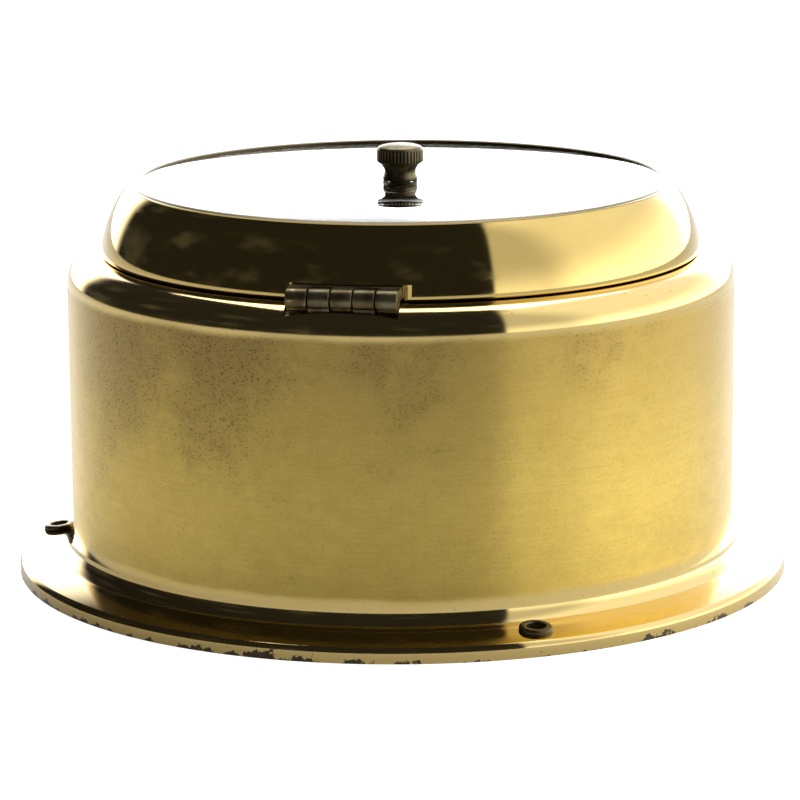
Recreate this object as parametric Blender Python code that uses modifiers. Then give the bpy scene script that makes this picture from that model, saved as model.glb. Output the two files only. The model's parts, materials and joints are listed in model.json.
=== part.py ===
"""Binnacle compass: a gimballed card compass in a flanged brass drum case with a hinged, glazed bezel.

Frame: origin at the centre of the flange's underside, +Z up through the card's pivot, +Y towards the
ship's head. The bezel's hinge is on the -X side. Sizes are in millimetres and become metres in `m`.
"""

import math
from collections import namedtuple

import bpy
import bmesh
from mathutils import Vector

# ---------------------------------------------------------------- clearances and mesh fineness
SEAT_GAP = 0.3          # between pieces that rest on or in each other
RUNNING_GAP = 0.1       # radial, between a pivot and its bore
KNUCKLE_GAP = 0.25      # between neighbouring hinge knuckles
RING_STEPS = 36         # facets round the case and everything concentric with it
SMALL_STEPS = 16        # facets round the knob, posts and bushes
SCREW_STEPS = 12        # facets round a screw
CHAMBER_STEPS = 24      # facets round the expansion chamber's pieces and the float

# ---------------------------------------------------------------- case drum
WALL_RADIUS = 73.2      # the case is sized by this and by its height
FLANGE_WIDTH = 11.8     # wall to the flange's edge
FLANGE_RIM = 2.0        # height of the flange's upright edge
FLANGE_EDGE = 1.5       # rounding above that edge
FLANGE_RISE = 0.75      # how much the flange's top climbs towards the drum
COVE = 3.5              # hollow between flange and wall
WALL = 1.6
CASE_HEIGHT = 70.4      # flange underside to the flat top
SHOULDER = 6.0          # rounding between wall and top
NECK_CLEARANCE = 0.6    # neck to the bezel's skirt
NECK_WALL = 1.4
NECK_HEIGHT = 3.6
LAND_WIDTH = 4.1        # thickened foot inside the wall, for the back plate screws
LAND_TOP = 7.5

# ---------------------------------------------------------------- back plate and mounting ferrules
BACK_PLATE = 1.7
BACK_PLATE_RISE = 0.3   # keeps the plate off whatever the flange stands on
BACK_LEDGE = 3.4        # width of the rebate that the back plate sits in
BACK_SCREWS = 4
BOLT_INSET = 6.0        # mounting holes to the flange's edge
FERRULE_ANGLES = (90.0, 210.0, 330.0)
FERRULE_RADIUS = 3.5
FERRULE_PROUD = 1.1
FERRULE_SPIGOT = 2.9
FERRULE_BORE = 1.95

# ---------------------------------------------------------------- bezel and its glass
BEZEL_STEP = 7.6        # how far the bezel stands in from the wall
BEZEL_RISE = 0.3        # from the case's top to the bezel's lip
BEZEL_HEIGHT = 15.5     # from lip to crest
BEZEL_SKIRT = 3.1
BEZEL_BASE = 0.6        # upright part of the bezel's wall above its lip
BEZEL_ROUNDING = 1.46   # exponent of the curve from skirt to crest
BEZEL_WIDTH = 8.45      # bezel's outside to the edge of the visible glass
CREST_WIDTH = 0.9       # visible glass to the crest
SIGHT_DROP = 0.3        # crest to the lip's inner edge
SIGHT_LIP = 0.4         # lip over the glass
GLASS_LEDGE = 1.65
GLASS = 2.9
GASKET = 0.9
RETAINER = 2.0
RETAINER_LEDGE = 2.1    # how much wider the retaining ring is than the glass

# ---------------------------------------------------------------- hinge and catch
HINGE_SPACE = 0.45      # barrel to bezel wall
HINGE_DROP = 1.0        # axis above the case's top
HINGE_BARREL = 2.25
HINGE_LENGTH = 23.0
HINGE_PIN = 0.9
LEAF = 1.4
LEAF_POCKET = 2.0       # how far the bezel's pocket runs past the barrel on the far side
LID_LEAF_HEIGHT = 2.75
CASE_LEAF_DEPTH = 4.9
LEAF_SCREW_SPREAD = 16.0
LID_SCREW_SPREAD = 12.0
CATCH_WIDTH = 6.0
CATCH_THICKNESS = 0.6
CATCH_FOOT = 6.5        # length under the case's top
CATCH_SCREW_INSET = 4.4
LEAF_INSET = 1.1        # case leaf's edge behind the hinge axis
LID_LEAF_LIFT = 0.25    # lid leaf above the bezel's lip
LEAF_SCREW_INSET = 1.8  # screws to the case leaf's inner edge

# ---------------------------------------------------------------- course pointer
KNOB_GRIP = 1.7         # how far the head stands out from the neck
KNOB_WAIST = 0.35       # how far the neck stands in from the foot
KNOB_FOOT_WALL = 0.75   # foot round the bush's flange
KNOB_NECK_SHARE = 0.48  # height of the waist, as a share of the height under the band
KNOB_HEIGHT = 7.9
KNOB_BAND = 2.6
KNOB_DOME = 1.3
KNOB_FLUTES = 24
KNOB_FLUTE_DEPTH = 0.25
SPINDLE = 1.6
BUSH_WALL = 0.6
BUSH_LIP = 0.7          # flange beyond the bush
BUSH_FLANGE_THICKNESS = 0.5
BUSH_NUT_THICKNESS = 1.6
BUSH_NUT_WIDTH = 1.9
BUSH_TAIL = 0.4
WASHER = 0.4
POINTER_HUB_WALL = 1.4
POINTER_HUB_HEIGHT = 1.6
POINTER_PLATE = 0.8
POINTER_REACH = 9.15    # pointer's end to the edge of the visible glass
POINTER_TAIL = 16.0
POINTER_WIDTH = 2.4

# ---------------------------------------------------------------- gimbals
GIMBAL_DROP = 25.4      # case's top to both gimbal axes
GIMBAL_CLEARANCE = 3.5  # bowl rim to ring
GIMBAL_WALL = 3.5
GIMBAL_DEPTH = 7.0
POST_CLEARANCE = 2.0
POST_WIDTH = 12.0
POST_THICKNESS = 2.0
POST_FOOT = 7.0
POST_EDGE = 1.5         # foot's end to the drum's land
POST_SCREW_SPREAD = 7.0
PIVOT_RADIUS = 1.5
PIVOT_HEAD_WIDTH = 1.3
PIVOT_HEAD_THICKNESS = 1.6

# ---------------------------------------------------------------- compass bowl, measured from the gimbal axes
BOWL_WALL = 2.2
RIM_WIDTH = 5.0
RIM_TOP = 6.4
RIM_FLOOR = 1.4         # metal under the seat of the bowl's glass
BOWL_DEPTH = 19.0
BOWL_CORNER = 8.0
BOWL_FLOOR = 4.0
BOWL_GLASS = 2.3
BOWL_GLASS_PROUD = 0.2  # glass above the rim
BOWL_GASKET = 0.7
BOWL_GLASS_LEDGE = 3.2
VERGE_THICKNESS = 1.7
VERGE_SCREWS = 4
TRUNNION_RADIUS = 2.9
CHAMBER_STEP = 2.0      # chamber's roof to its boss
CHAMBER_RECESS = 1.8
BLEED_RADIUS = 1.0
BLEED_INSET = 4.0
CHAMBER_BOSS_WALL = 5.0
CHAMBER_BOSS_HEIGHT = 4.0
DIAPHRAGM = 0.6
DIAPHRAGM_LAND = 1.0    # flat margin inside the boss
DIAPHRAGM_WAVE = 0.5
WAVE_SHARES = (7 / 9, 5 / 9, 3 / 9)
CAP_WALL = 2.5
CAP_FLOOR = 1.2
CAP_SPACE = 1.8         # under the diaphragm
CAP_LEDGE = 4.0         # balance ring's outside to the cap's flange
CAP_FLANGE_THICKNESS = 1.6
BALANCE_INSET = 10.0    # bowl's outside to the balance ring's
BALANCE_WIDTH = 7.9
FILLER_RADIUS = 2.0
FILLER_HEAD = 3.2
FILLER_DROP = 5.0       # gimbal axes to the filler
LUBBER_WIDTH = 0.8
LUBBER_DROP = 4.0

# ---------------------------------------------------------------- card, measured from the gimbal axes
CARD_CLEARANCE = 2.8    # card to the bowl
CARD_HEIGHT = 1.2
CARD_THICKNESS = 0.6
FLOAT_RADIUS = 16.0
FLOAT_DEPTH = 4.9
FLOAT_WALL = 0.6
JEWEL_RADIUS = 2.2
PIVOT_TIP = -0.9
POST_FOOT_RADIUS = 5.0
PIVOT_COLUMN = 2.0
PIVOT_POINT = 0.25      # radius of the pivot's tip
PIVOT_TAPER = 4.5
STUD_RADIUS = 1.2
STUD_LENGTH = 1.2
POST_FOOT_HEIGHT = 1.5
MAGNET_LENGTH = 48.0
MAGNET_SIDE = 2.5
MAGNET_SPACING = 9.0

# ---------------------------------------------------------------- sizes that follow
FLANGE_RADIUS = WALL_RADIUS + FLANGE_WIDTH
BOLT_CIRCLE = FLANGE_RADIUS - BOLT_INSET
BEZEL_RADIUS = WALL_RADIUS - BEZEL_STEP
SIGHT_RADIUS = BEZEL_RADIUS - BEZEL_WIDTH
CREST_RADIUS = SIGHT_RADIUS + CREST_WIDTH
SKIRT_INNER = BEZEL_RADIUS - BEZEL_SKIRT
NECK_OUTER = SKIRT_INNER - NECK_CLEARANCE
NECK_INNER = NECK_OUTER - NECK_WALL
WALL_INNER = WALL_RADIUS - WALL
TOP_UNDERSIDE = CASE_HEIGHT - WALL
NECK_TOP = CASE_HEIGHT + NECK_HEIGHT
LAND_INNER = WALL_INNER - LAND_WIDTH
LEDGE_RADIUS = WALL_INNER + BACK_LEDGE
BACK_TOP = BACK_PLATE_RISE + BACK_PLATE
LEDGE_HEIGHT = BACK_TOP + SEAT_GAP
COVE_RADIUS = WALL_RADIUS + COVE
FLANGE_SHOULDER = FLANGE_RADIUS - FLANGE_EDGE
FLANGE_OUTER_TOP = FLANGE_RIM + FLANGE_EDGE
FLANGE_INNER_TOP = FLANGE_OUTER_TOP + FLANGE_RISE
FLANGE_SLOPE = math.atan2(FLANGE_RISE, FLANGE_SHOULDER - COVE_RADIUS)

LIP_Z = CASE_HEIGHT + BEZEL_RISE
CREST_Z = LIP_Z + BEZEL_HEIGHT
SIGHT_TOP = CREST_Z - SIGHT_DROP
SEAT_Z = SIGHT_TOP - SIGHT_LIP
GLASS_BORE = SIGHT_RADIUS + GLASS_LEDGE + SEAT_GAP
GLASS_TOP = SEAT_Z - SEAT_GAP
GLASS_BOTTOM = GLASS_TOP - GLASS
GASKET_BOTTOM = GLASS_BOTTOM - SEAT_GAP - GASKET
RETAINER_BORE = GLASS_BORE + RETAINER_LEDGE
RETAINER_TOP = GASKET_BOTTOM - SEAT_GAP
RETAINER_BOTTOM = RETAINER_TOP - RETAINER

HINGE_X = -(BEZEL_RADIUS + HINGE_SPACE + HINGE_BARREL)
HINGE_Z = CASE_HEIGHT + HINGE_DROP
KNUCKLE = (HINGE_LENGTH - 4 * KNUCKLE_GAP) / 5

BUSH_RADIUS = SPINDLE + RUNNING_GAP + BUSH_WALL
BUSH_FLANGE = BUSH_RADIUS + BUSH_LIP
BUSH_NUT_RADIUS = BUSH_RADIUS + BUSH_NUT_WIDTH
KNOB_FOOT = BUSH_FLANGE + KNOB_FOOT_WALL
KNOB_NECK = KNOB_FOOT - KNOB_WAIST
KNOB_RADIUS = KNOB_NECK + KNOB_GRIP
POINTER_HUB = SPINDLE + POINTER_HUB_WALL
POINTER_LENGTH = SIGHT_RADIUS - POINTER_REACH
GLASS_HOLE = BUSH_RADIUS + SEAT_GAP
BUSH_FLANGE_TOP = GLASS_TOP + SEAT_GAP + BUSH_FLANGE_THICKNESS
BUSH_NUT_TOP = GLASS_BOTTOM - SEAT_GAP
BUSH_NUT_BOTTOM = BUSH_NUT_TOP - BUSH_NUT_THICKNESS
BUSH_BOTTOM = BUSH_NUT_BOTTOM - BUSH_TAIL
WASHER_TOP = BUSH_BOTTOM - SEAT_GAP
POINTER_TOP = WASHER_TOP - WASHER - SEAT_GAP
HUB_BOTTOM = POINTER_TOP - POINTER_HUB_HEIGHT
KNOB_Z = GLASS_TOP + SEAT_GAP

GIMBAL_HEIGHT = CASE_HEIGHT - GIMBAL_DROP
POST_INNER = LAND_INNER - POST_EDGE - POST_FOOT
POST_OUTER = POST_INNER + POST_THICKNESS
GIMBAL_OUTER = POST_INNER - POST_CLEARANCE
GIMBAL_INNER = GIMBAL_OUTER - GIMBAL_WALL
PIVOT_HEAD = PIVOT_RADIUS + PIVOT_HEAD_WIDTH

RIM_RADIUS = GIMBAL_INNER - GIMBAL_CLEARANCE
BOWL_RADIUS = RIM_RADIUS - RIM_WIDTH
BOWL_INNER = BOWL_RADIUS - BOWL_WALL
CARD_RADIUS = BOWL_INNER - CARD_CLEARANCE
RIM_Z = GIMBAL_HEIGHT + RIM_TOP
BOWL_BASE = GIMBAL_HEIGHT - BOWL_DEPTH
FLOOR_Z = BOWL_BASE + BOWL_FLOOR
BOWL_SEAT = BOWL_INNER + BOWL_GLASS_LEDGE
BOWL_GLASS_TOP = RIM_Z + BOWL_GLASS_PROUD
BOWL_GLASS_BOTTOM = BOWL_GLASS_TOP - BOWL_GLASS
BOWL_GASKET_TOP = BOWL_GLASS_BOTTOM - SEAT_GAP
BOWL_GASKET_BOTTOM = BOWL_GASKET_TOP - BOWL_GASKET
SEAT_FLOOR = BOWL_GASKET_BOTTOM - SEAT_GAP
RIM_UNDERSIDE = SEAT_FLOOR - RIM_FLOOR
VERGE_BOTTOM = BOWL_GLASS_TOP + SEAT_GAP
VERGE_TOP = VERGE_BOTTOM + VERGE_THICKNESS
VERGE_SCREW_RADIUS = (BOWL_SEAT + RIM_RADIUS) / 2
BALANCE_RADIUS = BOWL_RADIUS - BALANCE_INSET
CAP_RADIUS = BALANCE_RADIUS - BALANCE_WIDTH - SEAT_GAP
CAP_FLANGE = BALANCE_RADIUS - CAP_LEDGE
CAP_BORE = CAP_RADIUS - CAP_WALL
CHAMBER_BOSS_OUTER = CAP_BORE - SEAT_GAP
CHAMBER_BOSS_INNER = CHAMBER_BOSS_OUTER - CHAMBER_BOSS_WALL
CHAMBER_RADIUS = CHAMBER_BOSS_INNER - CHAMBER_STEP
BOSS_BOTTOM = BOWL_BASE - CHAMBER_BOSS_HEIGHT
DIAPHRAGM_TOP = BOSS_BOTTOM - SEAT_GAP
CAP_LAND = DIAPHRAGM_TOP - DIAPHRAGM - SEAT_GAP
CAP_BOTTOM = CAP_LAND - CAP_SPACE - CAP_FLOOR
CARD_Z = GIMBAL_HEIGHT + CARD_HEIGHT
FLOAT_TOP = CARD_Z - SEAT_GAP
FLOAT_BOTTOM = FLOAT_TOP - FLOAT_DEPTH

Screw = namedtuple("Screw", "head shank length thickness sunk")
BACK_SCREW = Screw(head=2.3, shank=1.2, length=5.6, thickness=1.1, sunk=True)
LEAF_SCREW = Screw(head=1.5, shank=0.8, length=2.9, thickness=0.7, sunk=True)
LID_LEAF_SCREW = Screw(head=1.2, shank=0.6, length=2.5, thickness=0.7, sunk=True)
FOOT_SCREW = Screw(head=1.8, shank=1.0, length=3.6, thickness=1.2, sunk=False)
VERGE_SCREW = Screw(head=1.2, shank=0.6, length=3.6, thickness=0.6, sunk=True)
POINTER_SCREW = Screw(head=1.9, shank=0.8, length=2.6, thickness=1.0, sunk=False)

FINISHES = {
    "satin_brass": ((0.72, 0.55, 0.22), 0.32, 1.0),
    "polished_brass": ((0.83, 0.66, 0.30), 0.12, 1.0),
    "tarnished_brass": ((0.24, 0.20, 0.11), 0.42, 1.0),
    "steel": ((0.55, 0.55, 0.57), 0.30, 1.0),
    "bronze": ((0.60, 0.38, 0.20), 0.35, 1.0),
    "lead": ((0.22, 0.22, 0.24), 0.60, 1.0),
    "glass": ((0.90, 0.95, 0.96), 0.02, 0.0),
    "rubber": ((0.03, 0.03, 0.03), 0.80, 0.0),
    "black_paint": ((0.02, 0.02, 0.02), 0.45, 0.0),
    "white_enamel": ((0.86, 0.85, 0.80), 0.40, 0.0),
    "jewel": ((0.55, 0.06, 0.12), 0.10, 0.0),
}


def m(value):
    """Millimetres to metres."""
    return value * 0.001


def metres(point):
    return Vector([m(value) for value in point])


def clear_scene():
    for obj in list(bpy.data.objects):
        bpy.data.objects.remove(obj, do_unlink=True)
    for collection in list(bpy.data.collections):
        bpy.data.collections.remove(collection)


def new_collection(name):
    collection = bpy.data.collections.new(name)
    bpy.context.scene.collection.children.link(collection)
    return collection


clear_scene()
PARTS = new_collection("binnacle_compass")
CUTTERS = new_collection("cutters")


def finish(name):
    material = bpy.data.materials.get(name)
    if material is None:
        color, roughness, metallic = FINISHES[name]
        material = bpy.data.materials.new(name)
        material.use_nodes = True
        shader = material.node_tree.nodes["Principled BSDF"]
        shader.inputs["Base Color"].default_value = (*color, 1.0)
        shader.inputs["Roughness"].default_value = roughness
        shader.inputs["Metallic"].default_value = metallic
    return material


def axis_empty(name, point, parent=None):
    """An empty on a joint's axis. What moves about that joint is parented to it."""
    empty = bpy.data.objects.new(name, None)
    empty.empty_display_size = m(8)
    PARTS.objects.link(empty)
    empty["place"] = [m(value) for value in point]
    attach(empty, parent, metres(point))
    return empty


def attach(obj, parent, place):
    """Places an object at a world point, as a child of a joint's empty."""
    if parent is None:
        obj.location = place
        return
    obj.parent = parent
    obj.location = place - Vector(parent["place"])


def add_object(name, mesh, material, parent=None, place=(0, 0, 0), direction=None):
    """Links a mesh made in millimetres about its own origin. Its +Z is turned to point along `direction`."""
    for vertex in mesh.vertices:
        vertex.co *= 0.001
    obj = bpy.data.objects.new(name, mesh)
    if material is None:
        CUTTERS.objects.link(obj)
        obj.hide_render = True
        obj.display_type = "WIRE"
    else:
        PARTS.objects.link(obj)
        mesh.materials.append(finish(material))
    if direction is not None:
        obj.rotation_euler = Vector(direction).to_track_quat("Z", "Y").to_euler()
    attach(obj, parent, metres(place))
    return obj


def turned(name, material, profile, steps=RING_STEPS, **place):
    """A turned piece. The profile's (radius, height) points run down its outer side, and back up its bore."""
    mesh = bpy.data.meshes.new(name)
    points = [(radius, 0.0, height) for radius, height in profile]
    edges = [(index, index + 1) for index in range(len(points) - 1)]
    if profile[0][0] > 0:
        edges.append((len(points) - 1, 0))
    mesh.from_pydata(points, edges, [])
    obj = add_object(name, mesh, material, **place)
    screw = obj.modifiers.new("turn", "SCREW")
    screw.steps = screw.render_steps = steps
    screw.use_merge_vertices = True
    screw.merge_threshold = 0.00001
    screw.use_smooth_shade = True
    return obj


def ring(outer, inner, top, bottom):
    return [(outer, top), (outer, bottom), (inner, bottom), (inner, top)]


def disc(radius, top, bottom):
    return [(0, top), (radius, top), (radius, bottom), (0, bottom)]


def arc(centre, radius, start, end, steps):
    """Points of a round stretch of a profile, by angle in degrees from +X."""
    turns = [math.radians(start + (end - start) * step / steps) for step in range(steps + 1)]
    return [(centre[0] + radius * math.cos(turn), centre[1] + radius * math.sin(turn)) for turn in turns]


def block(name, material, low, high, bevel=0.0, **place):
    """A box between two corners. Its own origin is its centre."""
    mesh = bpy.data.meshes.new(name)
    body = bmesh.new()
    bmesh.ops.create_cube(body, size=1.0)
    sides = [upper - lower for lower, upper in zip(low, high)]
    bmesh.ops.scale(body, vec=sides, verts=body.verts)
    body.to_mesh(mesh)
    body.free()
    centre = [(lower + upper) / 2 for lower, upper in zip(low, high)]
    obj = add_object(name, mesh, material, place=centre, **place)
    if bevel:
        edge = obj.modifiers.new("edges", "BEVEL")
        edge.width = m(bevel)
        edge.segments = 1
    return obj


def plate(name, material, outline, thickness, **place):
    """A flat piece cut from sheet: a 2D outline, extruded both ways from its mid-plane."""
    curve = bpy.data.curves.new(name, "CURVE")
    curve.dimensions = "2D"
    curve.fill_mode = "BOTH"
    curve.extrude = thickness / 2
    spline = curve.splines.new("POLY")
    spline.points.add(len(outline) - 1)
    for point, (x, y) in zip(spline.points, outline):
        point.co = (x, y, 0, 1)
    spline.use_cyclic_u = True
    guide = bpy.data.objects.new(name + "_outline", curve)
    CUTTERS.objects.link(guide)
    graph = bpy.context.evaluated_depsgraph_get()
    mesh = bpy.data.meshes.new_from_object(guide.evaluated_get(graph))
    bpy.data.objects.remove(guide, do_unlink=True)
    body = bmesh.new()
    body.from_mesh(mesh)
    bmesh.ops.remove_doubles(body, verts=body.verts, dist=0.001)
    body.to_mesh(mesh)
    body.free()
    return add_object(name, mesh, material, **place)


def apply_modifiers(obj):
    """Puts an object's evaluated shape in its mesh, so that its points can be moved."""
    graph = bpy.context.evaluated_depsgraph_get()
    mesh = bpy.data.meshes.new_from_object(obj.evaluated_get(graph))
    obj.modifiers.clear()
    obj.data = mesh


def cut(obj, *tools):
    """Cuts an object. One Boolean takes all its tools, so that no cut meets the edges of an earlier one."""
    label = obj.name + "_cuts"
    group = bpy.data.collections.get(label)
    if group is None:
        group = bpy.data.collections.new(label)
        CUTTERS.children.link(group)
        modifier = obj.modifiers.new(label, "BOOLEAN")
        modifier.operation = "DIFFERENCE"
        modifier.solver = "EXACT"
        modifier.operand_type = "COLLECTION"
        modifier.collection = group
    for tool in tools:
        ride_with(tool, obj)
        CUTTERS.objects.unlink(tool)
        group.objects.link(tool)


def join(obj, *tools):
    """Adds shapes to an object. It comes before the object's cuts."""
    for tool in tools:
        ride_with(tool, obj)
        modifier = obj.modifiers.new(tool.name, "BOOLEAN")
        modifier.operation = "UNION"
        modifier.solver = "EXACT"
        modifier.object = tool


def ride_with(tool, obj):
    """Parents a tool that was made in world coordinates to the joint that its object moves about."""
    if tool.parent is None:
        attach(tool, obj.parent, tool.location.copy())


def screw_profile(kind, grow=0.0, above=0.0):
    """A screw's profile, head up. `grow` widens it to its hole and `above` carries that hole past the head."""
    head = kind.head + grow
    shank = kind.shank + grow
    end = -kind.length - grow
    if kind.sunk:
        return [(0, above), (head, above), (head, 0), (shank, -kind.thickness), (shank, end), (0, end)]
    top = above if above else kind.thickness
    if grow:
        return [(0, top), (shank, top), (shank, end), (0, end)]
    return [(0, top), (head, top), (head, 0), (shank, 0), (shank, end), (0, end)]


def screw(name, material, kind, at, direction, parent=None):
    """A slotted screw. `at` is the middle of the face under its head, or of a sunk head's own face."""
    obj = turned(name, material, screw_profile(kind), SCREW_STEPS, parent=parent, place=at, direction=direction)
    top = 0.0 if kind.sunk else kind.thickness
    depth = kind.thickness * 0.45
    slot = block(name + "_slot", None, (-kind.head * 1.2, -0.25, top - depth), (kind.head * 1.2, 0.25, top + 1))
    turn_with(slot, obj)
    cut(obj, slot)
    return obj


def turn_with(tool, obj):
    """Carries a tool that was made about the world's origin over to an object's own place and direction."""
    frame = obj.rotation_euler.to_matrix().to_4x4()
    tool.location = obj.location + frame @ tool.location
    tool.rotation_euler = obj.rotation_euler
    tool.parent = obj.parent


def screw_hole(name, kind, at, direction, parent=None, above=2.0):
    profile = screw_profile(kind, grow=SEAT_GAP, above=above)
    return turned(name, None, profile, SCREW_STEPS, parent=parent, place=at, direction=direction)


def around(radius, degrees, height):
    turn = math.radians(degrees)
    return (radius * math.cos(turn), radius * math.sin(turn), height)


# ================================================================ joints' axes
lid_axis = axis_empty("lid_axis", (HINGE_X, 0, HINGE_Z))
pointer_axis = axis_empty("pointer_axis", (0, 0, GLASS_TOP), lid_axis)
roll_axis = axis_empty("roll_axis", (0, 0, GIMBAL_HEIGHT))
pitch_axis = axis_empty("pitch_axis", (0, 0, GIMBAL_HEIGHT), roll_axis)
card_axis = axis_empty("card_axis", (0, 0, GIMBAL_HEIGHT + PIVOT_TIP), pitch_axis)

# ================================================================ case
def shoulder_arc(radius, steps=4):
    """The rounding from the flat top (90 degrees) to the wall (0 degrees)."""
    centre = (WALL_RADIUS - SHOULDER, CASE_HEIGHT - SHOULDER)
    return arc(centre, radius, 90, 0, steps)


def make_case_drum():
    outside = [(NECK_OUTER, NECK_TOP), (NECK_OUTER, CASE_HEIGHT)]
    outside += shoulder_arc(SHOULDER)
    outside += arc((COVE_RADIUS, FLANGE_INNER_TOP + COVE), COVE, 180, 270, 3)
    outside += arc((FLANGE_SHOULDER, FLANGE_RIM), FLANGE_EDGE, 90, 0, 2)
    outside += [(FLANGE_RADIUS, 0), (LEDGE_RADIUS, 0)]
    inside = [(LEDGE_RADIUS, LEDGE_HEIGHT), (LAND_INNER, LEDGE_HEIGHT), (LAND_INNER, LAND_TOP)]
    inside += [(WALL_INNER, LAND_TOP + LAND_WIDTH)]
    inside += list(reversed(shoulder_arc(SHOULDER - WALL, 2)))
    inside += [(NECK_INNER, TOP_UNDERSIDE), (NECK_INNER, NECK_TOP)]
    drum = turned("case_drum", "satin_brass", outside + inside)
    notch = block(
        "hinge_notch", None,
        (HINGE_X - HINGE_BARREL - SEAT_GAP, -HINGE_LENGTH / 2 - SEAT_GAP, TOP_UNDERSIDE - LEAF - 2 * SEAT_GAP),
        (-BEZEL_RADIUS - 0.15, HINGE_LENGTH / 2 + SEAT_GAP, NECK_TOP),
    )
    slot = block(
        "catch_slot", None,
        (NECK_INNER - 2, -CATCH_WIDTH / 2 - SEAT_GAP, CASE_HEIGHT + 0.6),
        (NECK_OUTER + 2, CATCH_WIDTH / 2 + SEAT_GAP, NECK_TOP + 1),
    )
    cut(drum, notch, slot)
    return drum


def make_back_plate(drum):
    back = turned("back_plate", "satin_brass", disc(LEDGE_RADIUS - SEAT_GAP, BACK_TOP, BACK_PLATE_RISE))
    for index in range(BACK_SCREWS):
        place = around((LAND_INNER + LEDGE_RADIUS) / 2, 45 + index * 360 / BACK_SCREWS, BACK_PLATE_RISE + 0.1)
        down = (0, 0, -1)
        screw(f"back_plate_screw_{index + 1}", "tarnished_brass", BACK_SCREW, place, down)
        cut(back, screw_hole(f"back_screw_hole_{index + 1}", BACK_SCREW, place, down))
        cut(drum, screw_hole(f"land_screw_hole_{index + 1}", BACK_SCREW, place, down))
    return back


def ferrule_place(degrees):
    """Where a ferrule's collar meets the sloping flange, and which way it points."""
    outwards = Vector(around(1, degrees, 0))
    height = FLANGE_OUTER_TOP + (FLANGE_SHOULDER - BOLT_CIRCLE) * math.tan(FLANGE_SLOPE)
    normal = Vector((0, 0, 1)) * math.cos(FLANGE_SLOPE) + outwards * math.sin(FLANGE_SLOPE)
    return tuple(outwards * BOLT_CIRCLE + Vector((0, 0, height))), normal


def make_ferrules(drum):
    for index, degrees in enumerate(FERRULE_ANGLES):
        place, normal = ferrule_place(degrees)
        spigot_end = -place[2] + 1.0
        profile = [
            (FERRULE_RADIUS - 0.5, FERRULE_PROUD),
            (FERRULE_RADIUS, FERRULE_PROUD - 0.4),
            (FERRULE_RADIUS, SEAT_GAP),
            (FERRULE_SPIGOT, SEAT_GAP),
            (FERRULE_SPIGOT, spigot_end),
            (FERRULE_BORE, spigot_end),
            (FERRULE_BORE, FERRULE_PROUD),
        ]
        turned(
            f"screw_ferrule_{index + 1}", "tarnished_brass", profile, SMALL_STEPS,
            place=place, direction=normal,
        )
        hole = disc(FERRULE_SPIGOT + SEAT_GAP, 3, -place[2] - 3)
        cut(drum, turned(f"ferrule_hole_{index + 1}", None, hole, SMALL_STEPS, place=place, direction=normal))


# ================================================================ bezel
def bezel_outside(steps=7):
    """From the crest down to the lip: a quarter of a superellipse."""
    base = LIP_Z + BEZEL_BASE
    points = []
    for step in range(steps + 1):
        turn = math.pi / 2 * (1 - step / steps)
        across = math.cos(turn) ** (2 / BEZEL_ROUNDING)
        up = math.sin(turn) ** (2 / BEZEL_ROUNDING)
        points.append((CREST_RADIUS + (BEZEL_RADIUS - CREST_RADIUS) * across, base + (CREST_Z - base) * up))
    return points


def make_bezel():
    outside = [(SIGHT_RADIUS, SIGHT_TOP)] + bezel_outside() + [(BEZEL_RADIUS, LIP_Z)]
    inside = [
        (SKIRT_INNER, LIP_Z),
        (SKIRT_INNER, RETAINER_BOTTOM - SEAT_GAP),
        (RETAINER_BORE, RETAINER_BOTTOM - SEAT_GAP),
        (RETAINER_BORE, RETAINER_TOP + SEAT_GAP),
        (GLASS_BORE, RETAINER_TOP + SEAT_GAP),
        (GLASS_BORE, SEAT_Z),
        (SIGHT_RADIUS, SEAT_Z),
    ]
    bezel = turned("bezel_ring", "polished_brass", outside + inside, parent=lid_axis)
    pocket = block(
        "leaf_pocket", None,
        (HINGE_X - 1, -HINGE_LENGTH / 2 - LEAF_POCKET, LIP_Z - 2),
        (leaf_inner_x() + SEAT_GAP, HINGE_LENGTH / 2 + SEAT_GAP, LIP_Z + LID_LEAF_LIFT + LID_LEAF_HEIGHT + SEAT_GAP),
    )
    cut(bezel, pocket)
    return bezel


def make_lid_glazing():
    glass_radius = GLASS_BORE - SEAT_GAP
    turned("lid_glass", "glass", ring(glass_radius, GLASS_HOLE, GLASS_TOP, GLASS_BOTTOM), parent=lid_axis)
    gasket = ring(glass_radius, SIGHT_RADIUS, GASKET_BOTTOM + GASKET, GASKET_BOTTOM)
    turned("glass_gasket", "rubber", gasket, parent=lid_axis)
    retainer = turned(
        "glass_retaining_ring", "tarnished_brass",
        ring(RETAINER_BORE - SEAT_GAP, SIGHT_RADIUS, RETAINER_TOP, RETAINER_BOTTOM), parent=lid_axis,
    )
    for side in (-1, 1):
        low = (-1.0, side * (SIGHT_RADIUS + 1) - 2, RETAINER_BOTTOM - 1)
        high = (1.0, side * (SIGHT_RADIUS + 1) + 2, RETAINER_BOTTOM + RETAINER / 2)
        cut(retainer, block(f"key_slot_{side + 2}", None, low, high))


# ================================================================ hinge and catch
def leaf_inner_x():
    return -BEZEL_RADIUS + 0.3 + LEAF


def knuckle_span(index):
    start = -HINGE_LENGTH / 2 + index * (KNUCKLE + KNUCKLE_GAP)
    return start, start + KNUCKLE


def knuckle(name, index):
    start, end = knuckle_span(index)
    return turned(
        name, None, disc(HINGE_BARREL, (end - start) / 2, (start - end) / 2), SMALL_STEPS,
        place=(HINGE_X, (start + end) / 2, HINGE_Z), direction=(0, 1, 0),
    )


def pin_bore(name):
    profile = disc(HINGE_PIN + RUNNING_GAP, HINGE_LENGTH, -HINGE_LENGTH)
    return turned(name, None, profile, SMALL_STEPS, place=(HINGE_X, 0, HINGE_Z), direction=(0, 1, 0))


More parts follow.
